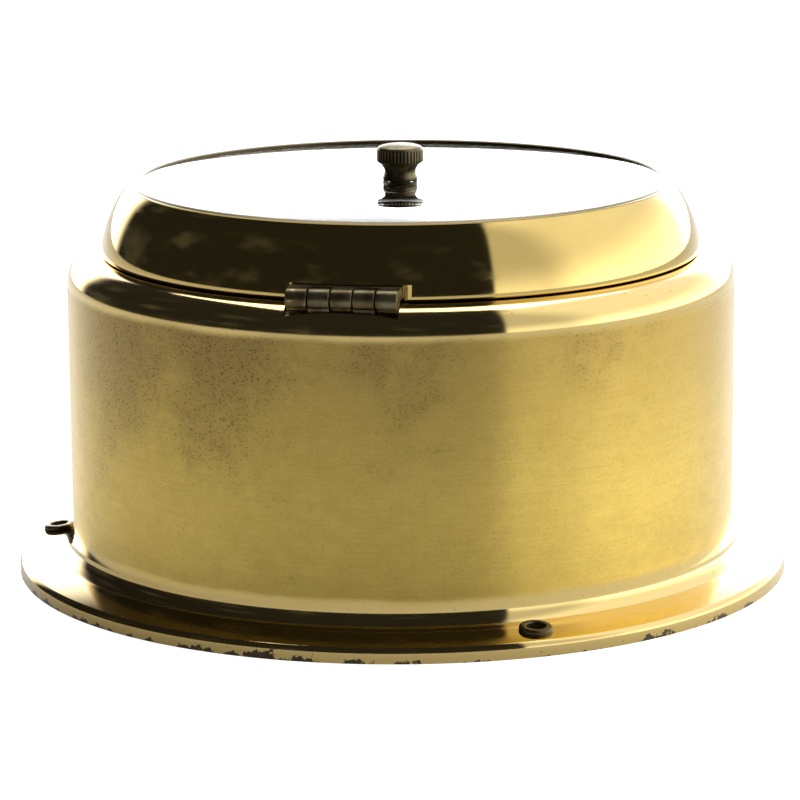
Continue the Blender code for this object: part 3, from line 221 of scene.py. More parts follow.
class Sheet:
    # one node tree, with the calls that add its nodes
    def __init__(self, tree):
        self.tree = tree
        self.place = None

    def node(self, kind, settings, *values, out=0, **named):
        made = self.tree.nodes.new(kind)
        for key, setting in settings.items():
            setattr(made, key, setting)
        for index, value in enumerate(values):
            if value is not None:
                self.feed(made.inputs[index], value)
        for key, value in named.items():
            self.feed(made.inputs[key], value)
        return Value(self, made.outputs[out])

    def feed(self, socket, value):
        if isinstance(value, Value):
            self.tree.links.new(value.socket, socket)
        else:
            socket.default_value = value

    # object coordinates, stretched by a factor for each axis
    def where(self, stretch=(1, 1, 1)):
        if self.place is None:
            self.place = self.node("ShaderNodeTexCoord", {}, out=3)
        return self.node("ShaderNodeVectorMath", {"operation": "MULTIPLY"}, self.place, stretch)

    def axis(self, index):
        return self.node("ShaderNodeSeparateXYZ", {}, self.where(), out=index)

    # distance from the Z axis, in millimetres
    def radius(self):
        flat = self.where((1, 1, 0))
        return self.node("ShaderNodeVectorMath", {"operation": "LENGTH"}, flat, out=1) / mm

    def noise(self, scale, detail=3, roughness=0.5, stretch=(1, 1, 1)):
        return self.node("ShaderNodeTexNoise", {}, Vector=self.where(stretch), Scale=scale,
                         Detail=detail, Roughness=roughness)

    def dots(self, scale):
        settings = {"feature": "F1"}
        return self.node("ShaderNodeTexVoronoi", settings, Vector=self.where(), Scale=scale)

    # 0 below low and 1 above high, with a soft step between
    def rise(self, value, low, high):
        settings = {"interpolation_type": "SMOOTHSTEP"}
        return self.node("ShaderNodeMapRange", settings, value, low, high, 0.0, 1.0)

    # a Mix node's colour sockets come after five that a colour mix leaves alone
    def mix(self, factor, first, second):
        gap = [None] * 5
        settings = {"data_type": "RGBA"}
        return self.node("ShaderNodeMix", settings, factor, *gap, first, second, out=2)

    def bump(self, height, strength, distance):
        return self.node("ShaderNodeBump", {}, Strength=strength, Distance=distance * mm,
                         Height=height)


def colour(red, green, blue):
    return (red, green, blue, 1.0)


def newMaterial(name, **constants):
    material = bpy.data.materials.new(name)
    material.use_nodes = True
    sheet = Sheet(material.node_tree)
    sheet.material = material
    sheet.shader = material.node_tree.nodes["Principled BSDF"]
    for key, value in constants.items():
        sheet.shader.inputs[key.replace("_", " ")].default_value = value
    return sheet


def surface(sheet, base, roughness, metallic=None, normal=None):
    sheet.feed(sheet.shader.inputs["Base Color"], base)
    sheet.feed(sheet.shader.inputs["Roughness"], roughness)
    if metallic is not None:
        sheet.feed(sheet.shader.inputs["Metallic"], metallic)
    if normal is not None:
        sheet.feed(sheet.shader.inputs["Normal"], normal)
    return sheet.material


# materials

# heights and softness in millimetres; a size is a noise scale, and a pair runs from none to full
drumLook = {
    "satin": colour(0.93, 0.68, 0.16), "satinDark": colour(0.74, 0.52, 0.11),
    "polished": colour(0.84, 0.63, 0.24), "tarnish": colour(0.10, 0.06, 0.02),
    "satinRoughness": 0.33, "polishedRoughness": 0.09,
    "satinFrom": 9.5, "satinTo": 64.0, "grain": (70, 70, 3800),
    # the brown is painted shade on the wall's upper part and foot, and real tarnish over the speck
    # patch; its amount, heights and drift set the painted shade towards the top
    "brownTarnishAndShade": colour(0.36, 0.235, 0.07), "topShadeAmount": 0.5, "topShadeHeights": (22.0, 66.0),
    # the foot entries set where painted shade browns the cove: its heights, its side and its
    # amount
    "topShadeDrift": 30, "footHeights": (7.0, 10.0), "footSide": (-0.01, 0.06), "footShadeAmount": 0.6,
    "speckSize": 1500, "speckLevels": (0.54, 0.64), "speckPatch": (0.72, 1.0),
    "speckEnd": (0.045, 0.07), "speckStrength": 0.8, "stainSize": 34, "stainRadius": 0.06,
    "rimPatina": 14.0,
}


def drumBrass():
    look = drumLook
    sheet = newMaterial("lacquered satin brass", Metallic=1.0, Anisotropic=0.8,
                        Anisotropic_Rotation=0.25, Coat_Weight=0.35, Coat_Roughness=0.12)
    height = sheet.axis(2) / mm + (sheet.noise(60) - 0.5) * 1.2
    satin = sheet.rise(height, look["satinFrom"] - 1, look["satinFrom"] + 1.5)
    satin = satin * (1 - sheet.rise(height, look["satinTo"] - 1, look["satinTo"] + 1))
    turning = sheet.noise(1, 3, 0.6, look["grain"])
    cloud = sheet.noise(22, 5, 0.6)
    mottle = sheet.noise(210, 4, 0.65, (1, 1, 1.6))

    # fine dark specks, thickest on the upper part of the wall towards the ship's head
    patch = sheet.noise(32, 4, 0.65) + sheet.axis(1) * 3 + sheet.axis(2) * 6
    speckArea = sheet.rise(patch, *look["speckPatch"])
    speckArea = speckArea * (1 - sheet.rise(sheet.axis(1), *look["speckEnd"]))
    coarse = sheet.noise(look["speckSize"], 3, 0.75, (1, 1, 1.6))
    coarse = sheet.rise(coarse, *look["speckLevels"])
    specks = coarse * (0.2 + 0.8 * speckArea) * satin

    # a few ragged stains, pits in the polished parts, and dark patina along the flange's rim
    ragged = (sheet.noise(900, 3, 0.7) - 0.5) * 0.16
    stains = look["stainRadius"] - sheet.dots(look["stainSize"]) + ragged
    stains = sheet.rise(stains, 0.0, 0.05) * satin
    pits = sheet.rise(sheet.noise(900, 3, 0.7), 0.66, 0.74) * 0.7 * (1 - satin)
    rim = (sheet.noise(150, 5, 0.7) - 0.5) * look["rimPatina"] + (sheet.noise(14, 1) - 0.5) * 3
    rim = sheet.rise(rim - sheet.axis(2) / mm, -0.15, 0.15)

    # brushed wall between two polished bands, with painted shade that makes it browner towards its
    # top and, on one side, at its foot, where the wall reflects the dark room; the same brown is
    # real tarnish over the speck patch
    brushed = (turning - 0.5) * 0.5
    tone = sheet.rise(cloud + mottle * 0.5 + brushed, 0.45, 1.05)
    base = sheet.mix(tone, look["satinDark"], look["satin"])
    # painted shade: the wall darkens and browns towards its top, in place of the dark room it
    # reflects
    agedAndShaded = sheet.rise(height + (cloud - 0.5) * look["topShadeDrift"], *look["topShadeHeights"])
    base = sheet.mix(agedAndShaded * look["topShadeAmount"] + speckArea * 0.35, base, look["brownTarnishAndShade"])
    base = sheet.mix(satin, look["polished"], base)
    # painted shade: below the wall, on the side towards +Y, the cove and flange are browned in
    # place of the cove's dark reflection
    foot = 1 - sheet.rise(height, *look["footHeights"])
    foot = foot * sheet.rise(sheet.axis(1), *look["footSide"])
    base = sheet.mix(foot * look["footShadeAmount"], base, look["brownTarnishAndShade"])
    dirt = specks * look["speckStrength"] + stains * 0.8 + pits
    base = sheet.mix(dirt, base, look["tarnish"])
    base = sheet.mix(rim, base, look["tarnish"])
    gain = look["satinRoughness"] - look["polishedRoughness"]
    rough = satin * gain + look["polishedRoughness"]
    rough = rough + (turning - 0.5) * 0.12 * satin + (cloud - 0.5) * 0.1
    rough = rough + rim * 0.35 + dirt * 0.2
    normal = sheet.bump(turning * satin + rim * 0.8, 0.35, 0.02)
    return surface(sheet, base, rough, 1 - rim * 0.6, normal)


polishedLook = {
    "brass": colour(0.83, 0.62, 0.22), "deep": colour(0.66, 0.47, 0.15),
    "tarnish": colour(0.09, 0.07, 0.03), "roughness": 0.055,
    "lipFrom": 85.3, "lipSoft": 0.2, "lipInside": (50, 52), "lipOutside": (58.5, 59.3),
    "lipDirt": 0.9,
}


def polishedBrass():
    look = polishedLook
    sheet = newMaterial("polished brass", Metallic=1.0, Coat_Weight=0.15, Coat_Roughness=0.05)
    cloud = sheet.noise(35, 4, 0.6)
    smear = sheet.rise(sheet.noise(90, 3, 0.6, (1, 1, 5)), 0.5, 0.8)
    scratches = sheet.noise(1, 2, 0.5, (900, 900, 9000))
    freckles = sheet.rise(sheet.noise(700, 3, 0.7), 0.68, 0.76) * sheet.rise(cloud, 0.5, 0.7)
    base = sheet.mix(cloud, look["deep"], look["brass"])
    base = sheet.mix(freckles * 0.7, base, look["tarnish"])

    # a dark line of old polish on the lip that holds the lid glass
    radius = sheet.radius()
    height = sheet.axis(2) / mm
    lip = sheet.rise(height, look["lipFrom"] - look["lipSoft"], look["lipFrom"])
    lip = lip * (1 - sheet.rise(radius, *look["lipOutside"]))
    lip = lip * sheet.rise(radius, *look["lipInside"])
    base = sheet.mix(lip * look["lipDirt"], base, look["tarnish"])
    rough = lip * 0.3 + look["roughness"] + smear * 0.08 + freckles * 0.2
    rough = rough + (scratches - 0.5) * 0.02
    normal = sheet.bump(scratches + freckles, 0.12, 0.008)
    return surface(sheet, base, rough, 1 - lip * 0.5, normal)


tarnishedLook = {
    "brown": colour(0.105, 0.075, 0.035), "olive": colour(0.21, 0.185, 0.10),
    "worn": colour(0.55, 0.40, 0.15), "roughness": 0.36,
    "ridge": colour(0.50, 0.42, 0.22), "ridgeWear": 0.35,
    "grooveDirt": colour(0.02, 0.015, 0.008), "grooveDepth": 0.85,
}


# knurl is the outer radius, foot and top of a fluted band, in millimetres: its grooves hold dirt
def tarnishedBrass(name, knurl=None):
    look = tarnishedLook
    sheet = newMaterial(name, Metallic=1.0)
    cloud = sheet.noise(190, 4, 0.65)
    fine = sheet.noise(1600, 3, 0.7)
    worn = sheet.rise(sheet.noise(260, 3, 0.6), 0.58, 0.72)
    base = sheet.mix(sheet.rise(cloud, 0.35, 0.65), look["brown"], look["olive"])
    base = sheet.mix(worn * 0.55, base, look["worn"])
    if knurl:
        edge, low, high = knurl
        radius = sheet.radius()
        height = sheet.axis(2) / mm
        band = sheet.rise(height, low, low + 0.1) * (1 - sheet.rise(height, high - 0.1, high))
        groove = (1 - sheet.rise(radius, edge - 0.3, edge - 0.1)) * band
        ridge = sheet.rise(radius, edge - 0.1, edge - 0.02) * band
        base = sheet.mix(ridge * look["ridgeWear"], base, look["ridge"])
        base = sheet.mix(groove * look["grooveDepth"], base, look["grooveDirt"])
    rough = look["roughness"] + (fine - 0.5) * 0.25 - worn * 0.12
    return surface(sheet, base, rough, 0.8 + worn * 0.2, sheet.bump(fine + cloud, 0.25, 0.03))


# plain metals, paint and rubber share one recipe: two tones, a fine grain and its bump
def grained(name, light, dark, roughness, metallic, scale, depth=0.02):
    sheet = newMaterial(name, Metallic=metallic)
    tone = sheet.noise(scale, 4, 0.6)
    fine = sheet.noise(scale * 6, 2, 0.6)
    base = sheet.mix(sheet.rise(tone + fine * 0.4, 0.45, 0.95), dark, light)
    rough = roughness + (tone - 0.5) * 0.2 + (fine - 0.5) * 0.12
    return surface(sheet, base, rough, None, sheet.bump(tone + fine * 0.5, 0.3, depth))


# off-white enamel with fine printed circles
cardLook = {
    "enamel": colour(0.80, 0.78, 0.70), "agedAndShaded": colour(0.70, 0.65, 0.50),
    "ink": colour(0.02, 0.02, 0.025),
    "circles": ((38.6, 0.35), (33.2, 0.18), (24.6, 0.25), (9.2, 0.2)),
}


def cardEnamel():
    look = cardLook
    sheet = newMaterial("card enamel", Metallic=0.0)
    radius = sheet.radius()
    base = sheet.mix(sheet.rise(sheet.noise(60, 4), 0.4, 0.75), look["enamel"], look["agedAndShaded"])
    for circle, width in look["circles"]:
        away = sheet.node("ShaderNodeMath", {"operation": "ABSOLUTE"}, radius - circle)
        base = sheet.mix(1 - sheet.rise(away, width * 0.4, width * 0.6), base, look["ink"])
    fine = sheet.noise(1800, 2)
    return surface(sheet, base, 0.38 + (fine - 0.5) * 0.15, None, sheet.bump(fine, 0.1, 0.01))


glassLook = {"tint": colour(0.97, 0.99, 0.985), "dust": colour(0.75, 0.75, 0.72)}


# clear, with faint smears and dust
def clearGlass():
    look = glassLook
    sheet = newMaterial("clear glass", Metallic=0.0, Transmission_Weight=1.0, IOR=1.5)
    smear = sheet.rise(sheet.noise(45, 4, 0.6, (1, 2, 1)), 0.52, 0.8)
    dust = sheet.rise(sheet.noise(1400, 2, 0.7), 0.72, 0.8)
    base = sheet.mix(dust * 0.25, look["tint"], look["dust"])
    return surface(sheet, base, smear * 0.012 + dust * 0.03)


# light and dark tone, roughness, metallic and grain size
plainLooks = {
    "steel": ("turned steel", colour(0.56, 0.55, 0.53), colour(0.34, 0.33, 0.31), 0.3, 1.0, 900),
    "bronze": ("phosphor bronze", colour(0.62, 0.36, 0.18), colour(0.38, 0.21, 0.10), 0.35, 1.0,
               500),
    "lead": ("cast lead", colour(0.24, 0.24, 0.25), colour(0.13, 0.13, 0.14), 0.6, 0.7, 300, 0.08),
    "rubber": ("black rubber", colour(0.035, 0.034, 0.033), colour(0.018, 0.018, 0.018), 0.75, 0.0,
               700),
    "black_paint": ("black bowl paint", colour(0.028, 0.028, 0.03), colour(0.014, 0.014, 0.015),
                    0.42, 0.0, 1200, 0.03),
    "jewel": ("jewel cup", colour(0.60, 0.36, 0.16), colour(0.42, 0.22, 0.10), 0.3, 1.0, 900),
}
finishes = {slot: grained(*look) for slot, look in plainLooks.items()}
finishes["satin_brass"] = drumBrass()
finishes["polished_brass"] = polishedBrass()
finishes["tarnished_brass"] = tarnishedBrass("tarnished brass")
finishes["glass"] = clearGlass()
finishes["card_enamel"] = cardEnamel()
print("materials:", len(bpy.data.materials))

# the CAD nodes that stay take their record slot's material, but the jewel has its own
subparts = {part["node"]: part["material_slot"] for part in frame["record"]["subparts"]}
for name, node in frame["nodes"].items():
    material = finishes["jewel" if name == "jewel_cup" else subparts[name]]
    if not node.material_slots:
        node.data.materials.append(material)
    for slotPlace in node.material_slots:
        slotPlace.material = material


def topOf(node):
    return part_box(node)[1] / mm


def bottomOf(node):
    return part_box(node)[0] / mm


# case drum: radii and heights
drum = {
    "flange": topOf("case_drum").x, "neckTop": topOf("case_drum").z, "steps": 256,
    "wall": 73.2, "top": 70.4, "shoulder": 6.0, "cove": 3.6, "coveBase": 4.64,
    "flangeTop": 3.34, "flangeEdge": 1.4, "rebate": 75.0, "rebateDepth": 2.3, "land": 67.5,
    "landTop": 7.5, "inner": 71.6, "innerCorner": 4.4, "neck": 61.9, "opening": 60.5,
    "ceiling": 68.8, "notchHalf": 11.8, "notchDepth": -65.75, "slotHalf": 3.3,
}
ferrule = {
    "circle": 79.0, "angles": (90, 210, 330), "tilt": 6.29, "seat": 3.996,
    "collar": 3.5, "spigot": 2.9, "space": 0.1, "bore": 1.95, "proud": 1.1, "end": -3.0,
}
hinge = {
    "x": -68.3, "z": 71.4, "barrel": 2.25, "bore": 1.0, "pin": 0.9, "half": 11.5,
    "knuckle": 4.4, "pitch": 4.65, "notchLow": 66.8, "leafEdge": 0.12,
    "caseLeaf": ((-67.2, -11.2, 67.1), (-62.3, 11.2, 68.5)),
    "caseWeb": ((-69.8, 67.15), (-66.6, 70.6)), "caseKnuckles": (1, 3),
    "lidLeaf": ((-65.3, -11.5, 70.95), (-63.9, 11.5, 73.7)),
    "lidWeb": ((-67.5, 72.4), (-64.6, 73.6)), "lidKnuckles": (0, 2, 4),
}


def ferrulePlace(degrees):
    lean = Matrix.Rotation(math.radians(ferrule["tilt"]), 4, "Y")
    out = Matrix.Translation((ferrule["circle"] * mm, 0, ferrule["seat"] * mm))
    return aroundZ(degrees) @ out @ lean


def makeDrum():
    d = drum
    piece = lathe("caseDrum", [
        (d["neck"], d["neckTop"], 0.35), (d["neck"], d["top"], 0.3),
        (d["wall"], d["top"], d["shoulder"]), (d["wall"], d["coveBase"], d["cove"]),
        (d["flange"], d["flangeTop"], d["flangeEdge"]), (d["flange"], 0, 0.25),
        (d["rebate"], 0, 0.2), (d["rebate"], d["rebateDepth"]),
        (d["land"], d["rebateDepth"], 0.2), (d["land"], d["landTop"], 0.3),
        (d["inner"], d["landTop"] + d["inner"] - d["land"], 0.5),
        (d["inner"], d["ceiling"], d["innerCorner"]),
        (d["opening"], d["ceiling"], 0.2), (d["opening"], d["neckTop"], 0.35),
    ], d["steps"])
    holes = []
    for degrees in ferrule["angles"]:
        hole = rod("ferruleHole", ferrule["spigot"] + ferrule["space"], (0, 0, -8), (0, 0, 4))
        holes.append(move(hole, ferrulePlace(degrees)))
    notch = block("hingeNotch", (hinge["x"] - 2.55, -d["notchHalf"], hinge["notchLow"]),
                  (d["notchDepth"], d["notchHalf"], d["neckTop"]))
    slot = block("catchSlot", (d["opening"] - 2, -d["slotHalf"], d["top"] + 0.6),
                 (d["neck"] + 2, d["slotHalf"], d["neckTop"] + 1))
    boolean(piece, holes + [notch, slot])
    done(piece, finishes["satin_brass"], "case", ["case_drum"])


makeDrum()


def makeFerrules():
    f = ferrule
    first = lathe("ferruleBlank", [
        (f["bore"], f["end"]), (f["spigot"], f["end"]), (f["spigot"], 0.02),
        (f["collar"], 0.02, 0.1), (f["collar"], f["proud"], 0.6), (f["bore"], f["proud"], 0.35),
    ], 64)
    for number, degrees in enumerate(f["angles"], 1):
        piece = copyOf(first, f"screwFerrule{number}", ferrulePlace(degrees))
        node = f"screw_ferrule_{number}"
        done(piece, finishes["tarnished_brass"], "case", [node])
    bpy.data.objects.remove(first)


makeFerrules()
print("case and ferrules made")

# bezel, with a quarter superellipse from crest to base; its crest lies 0.4 mm lower than in the
# CAD, so that the glass is nearly flush with it
bezel = {
    "outer": topOf("bezel_ring").y, "crest": topOf("bezel_ring").z - 0.4,
    "lip": bottomOf("bezel_ring").z, "crestRadius": 58.05, "sight": 57.15, "fullness": 1.46,
    "curveSteps": 44, "base": 71.3, "skirt": 62.5, "retainerBore": 61.2, "glassBore": 59.1,
    "sightTop": 85.65, "seat": 85.5, "ledgeLow": 78.5, "ledgeHigh": 81.1, "steps": 256,
    "pocket": ((-72, -13.5, 68), (-63.6, 11.8, 74)),
}


def makeBezel():
    b = bezel
    corners = []
    for step in range(b["curveSteps"] + 1):
        turn = math.pi / 2 * (1 - step / b["curveSteps"])
        across = max(math.cos(turn), 0) ** (2 / b["fullness"])
        up = math.sin(turn) ** (2 / b["fullness"])
        corners.append((b["crestRadius"] + (b["outer"] - b["crestRadius"]) * across,
                        b["base"] + (b["crest"] - b["base"]) * up))
    piece = lathe("bezelRing", corners + [
        (b["outer"], b["lip"], 0.25), (b["skirt"], b["lip"], 0.25),
        (b["skirt"], b["ledgeLow"], 0.1), (b["retainerBore"], b["ledgeLow"]),
        (b["retainerBore"], b["ledgeHigh"]), (b["glassBore"], b["ledgeHigh"]),
        (b["glassBore"], b["seat"]), (b["sight"], b["seat"]), (b["sight"], b["sightTop"], 0.25),
    ], b["steps"])
    boolean(piece, [block("leafPocket", *b["pocket"])])
    done(piece, finishes["polished_brass"], "lid", ["bezel_ring"])


makeBezel()


# size is the outer and inner radius, underside and top
def makeRing(name, node, body, slot, size, edge=0.15, cuts=()):
    outer, inner, low, high = size
    corners = [(outer, low, edge), (outer, high, edge), (inner, high, edge), (inner, low, edge)]
    piece = lathe(name, corners)
    boolean(piece, cuts)
    done(piece, finishes[slot], body, [node])


lidGlazing = {
    "glass": (58.8, 2.6, 82.3, 85.44), "gasket": (58.8, 57.15, 81.1, 82.0),
    "retainer": (60.9, 57.15, 78.8, 80.8), "keySlotRadius": 58.15,
}
makeRing("lidGlass", "lid_glass", "lid", "glass", lidGlazing["glass"])
makeRing("glassGasket", "glass_gasket", "lid", "rubber", lidGlazing["gasket"], edge=0.3)
keySlots = []
for side in (-1, 1):
    y = side * lidGlazing["keySlotRadius"]
    keySlots.append(block("keySlot", (-1, y - 2, 77.8), (1, y + 2, 79.8)))
makeRing("retainingRing", "glass_retaining_ring", "lid", "tarnished_brass",
         lidGlazing["retainer"], cuts=keySlots)
print("bezel and glass made")


# hinge: one knuckle is turned and copied along the barrel
def makeHinge():
    h = hinge
    half = h["knuckle"] / 2
    blank = lathe("knuckleBlank", [
        (h["bore"], -half, 0.1), (h["barrel"], -half, 0.22),
        (h["barrel"], half, 0.22), (h["bore"], half, 0.1),
    ], 72)
    along = Matrix.Rotation(math.radians(-90), 4, "X")

    def onAxis(y):
        return Matrix.Translation((h["x"] * mm, y * mm, h["z"] * mm)) @ along

    def knuckle(index):
        return copyOf(blank, "knuckle", onAxis(-h["half"] + index * h["pitch"] + half))

    # the tongue that joins a knuckle to its leaf, bored for the pin
    def web(index, low, high):
        start = -h["half"] + index * h["pitch"]
        end = start + h["knuckle"]
        tongue = block("web", (low[0], start, low[1]), (high[0], end, high[1]))
        bore = rod("webBore", h["bore"], (h["x"], start - 1, h["z"]), (h["x"], start + 6, h["z"]))
        return boolean(tongue, [bore])

    def leaf(name, body, node, size, webSize, indices):
        piece = block(name, *size, h["leafEdge"])
        for index in indices:
            boolean(piece, [web(index, *webSize), knuckle(index)], "UNION")
        done(piece, finishes["tarnished_brass"], body, [node])

    leaf("hingeCaseLeaf", "case", "hinge_case_leaf", h["caseLeaf"], h["caseWeb"],
         h["caseKnuckles"])
    leaf("hingeLidLeaf", "lid", "hinge_lid_leaf", h["lidLeaf"], h["lidWeb"], h["lidKnuckles"])
    pin = lathe("hingePin", [
        (0, -h["half"]), (h["pin"], -h["half"], 0.3), (h["pin"], h["half"], 0.3), (0, h["half"]),
    ], 48, closed=False)
    move(pin, onAxis(0))
    done(pin, finishes["tarnished_brass"], "case", ["hinge_pin"])
    bpy.data.objects.remove(blank)


makeHinge()
print("hinge made")

# course knob with a straight knurl cut into its head
knob = {
    "foot": bottomOf("course_knob").z, "top": topOf("course_knob").z, "head": 5.1, "dome": 1.3,
    "domeSteps": 10, "domeAngle": 8, "band": 2.6, "collar": 4.1, "neck": 3.4, "footRadius": 3.75,
    "flutes": 40, "fluteDepth": 0.38, "stepsPerFlute": 4, "grooveSteps": 2, "recess": 3.3,
    "recessTop": 86.3, "bore": 1.9,
}


def makeKnob():
    k = knob
    bandTop = k["top"] - k["dome"]
    bandLow = bandTop - k["band"]
    dome = []
    for index in range(k["domeSteps"]):
        degrees = index * k["domeAngle"]
        height = k["top"] - k["dome"] * (degrees / 90) ** 2
        dome.append((k["head"] * math.sin(math.radians(degrees)), height))
    columns = k["flutes"] * k["stepsPerFlute"]
    piece = lathe("courseKnob", dome + [
        (k["head"], bandTop, 0.18), (k["head"], bandLow, 0.25), (k["collar"], bandLow - 0.55, 0.3),
        (k["neck"], bandLow - 1.7, 0.9), (k["neck"], k["foot"] + 1.5, 0.6),
        (k["footRadius"], k["foot"] + 0.6, 0.3), (k["footRadius"], k["foot"], 0.12),
        (k["recess"], k["foot"]), (k["recess"], k["recessTop"]), (k["bore"], k["recessTop"]),
        (k["bore"], bandLow), (0, bandLow),
    ], columns, closed=False)

    # every other pair of face columns on the band is pushed in to make a flute
    pick(piece)
    bpy.context.tool_settings.mesh_select_mode = (False, False, True)
    bpy.ops.object.mode_set(mode="EDIT")
    bpy.ops.mesh.select_all(action="DESELECT")
    bpy.ops.object.mode_set(mode="OBJECT")
    for face in piece.data.polygons:
        centre = face.center / mm
        column = int(math.degrees(math.atan2(centre.y, centre.x)) % 360 / 360 * columns)
        onBand = centre.xy.length > k["head"] - 0.1 and bandLow < centre.z < bandTop
        inGroove = column % k["stepsPerFlute"] < k["grooveSteps"]
        face.select = onBand and inGroove and abs(face.normal.z) < 0.3
    bpy.ops.object.mode_set(mode="EDIT")
    bpy.ops.mesh.extrude_region_move()
    inwards = 1 - k["fluteDepth"] / k["head"]
    bpy.ops.transform.resize(value=(inwards, inwards, 1), center_override=(0, 0, 0))
    bpy.ops.object.mode_set(mode="OBJECT")
    bpy.context.tool_settings.mesh_select_mode = (True, False, False)
    brass = tarnishedBrass("knurled brass", (k["head"], bandLow, bandTop))
    done(piece, brass, "course_pointer", ["course_knob"])


makeKnob()
print("knob made")

# gimbal ring, with the bores of its four pivots
gimbal = {"ring": (57.0, 53.5, 41.5, 48.5), "axis": 45.0, "bore": 1.6}
bores = []
for degrees in (0, 90, 180, 270):
    bore = rod("pivotBore", gimbal["bore"], (50, 0, gimbal["axis"]), (60, 0, gimbal["axis"]))
    bores.append(move(bore, aroundZ(degrees)))
makeRing("gimbalRing", "gimbal_ring", "gimbal", "polished_brass", gimbal["ring"], edge=0.4,
         cuts=bores)

# bowl, its glass and verge ring
bowl = {
    "glass": (45.7, 49.3, 51.6), "verge": (50.0, 42.8, 51.9, 53.6), "steps": 144,
    "screwCircle": 48.0, "screwHead": 1.35, "screwShank": 0.75, "screws": 4,
    "rim": 50.0, "rimTop": 51.4, "rimLow": 46.6, "body": 45.0, "inner": 42.8, "base": 26.0,
    "floor": 30.0, "seat": 46.0, "seatFloor": 48.0, "boss": 24.0, "bossInner": 19.0,
    "bossLow": 22.0, "chamber": 17.0, "chamberTop": 27.8, "trunnion": 2.9, "stud": 1.5,
    "filler": 2.3, "fillerZ": 40,
}


def makeBowl():
    b = bowl
    piece = lathe("compassBowl", [
        (0, b["floor"]), (b["inner"], b["floor"], 5.8), (b["inner"], b["seatFloor"]),
        (b["seat"], b["seatFloor"]), (b["seat"], b["rimTop"], 0.2), (b["rim"], b["rimTop"], 0.3),
        (b["rim"], b["rimLow"], 0.4), (b["body"], b["rimLow"], 0.8), (b["body"], b["base"], 8),
        (b["boss"], b["base"], 0.8), (b["boss"], b["bossLow"], 0.3),
        (b["bossInner"], b["bossLow"], 0.3), (b["bossInner"], b["base"], 0.3),
        (b["chamber"], b["chamberTop"], 0.3), (0, b["chamberTop"]),
    ], b["steps"], closed=False)
    axis = gimbal["axis"]
    trunnions = []
    drilled = []
    for side in (-1, 1):
        trunnions.append(rod("trunnion", b["trunnion"], (side * 43.8, 0, axis),
                             (side * 51, 0, axis)))
        drilled.append(rod("bore", gimbal["bore"], (side * 47.5, 0, axis), (side * 55, 0, axis)))
    drilled.append(rod("studHole", b["stud"], (0, 0, 28.5), (0, 0, 32)))
    diagonal = Vector((1, 1, 0)).normalized()
    low = Vector((0, 0, b["fillerZ"]))
    drilled.append(rod("fillerHole", b["filler"], diagonal * 40 + low, diagonal * 49 + low))
    boolean(piece, trunnions, "UNION")
    boolean(piece, drilled)
    done(piece, finishes["black_paint"], "bowl", ["compass_bowl"])
    radius, glassLow, glassTop = b["glass"]
    pane = lathe("bowlGlass", [
        (0, glassLow), (radius, glassLow, 0.15), (radius, glassTop, 0.15), (0, glassTop),
    ], b["steps"], closed=False)
    done(pane, finishes["glass"], "bowl", ["bowl_glass"])
    sinks = []
    top = b["verge"][3]
    out = Matrix.Translation((b["screwCircle"] * mm, 0, 0))
    for index in range(b["screws"]):
        sink = lathe("countersink", [
            (0, top - 2), (b["screwShank"], top - 2), (b["screwShank"], top - 0.7),
            (b["screwHead"], top - 0.1), (b["screwHead"], top + 1), (0, top + 1),
        ], 32, closed=False)
        sinks.append(move(sink, aroundZ((index + 0.5) * 360 / b["screws"]) @ out))
    makeRing("vergeRing", "verge_ring", "bowl", "polished_brass", b["verge"], edge=0.35,
             cuts=sinks)


makeBowl()
print("gimbal and bowl made")

# compass card with raised printing: a star, degree marks and the twelve headings
card = {
    "disc": (40.0, 2.5, 46.2, 46.8), "ink": 0.05, "marks": 72, "markOuter": 38.2,
    "shortMark": 1.8, "longMark": 3.4, "markWidth": 0.3, "textRadius": 29.6, "textSize": 4.6,
    "cardinalSize": 1.35, "starOuter": 23.0, "starInner": 8.0, "starPoints": 8, "starHole": 4.0,
    "headings": ("N", "3", "6", "E", "12", "15", "S", "21", "24", "W", "30", "33"),
}


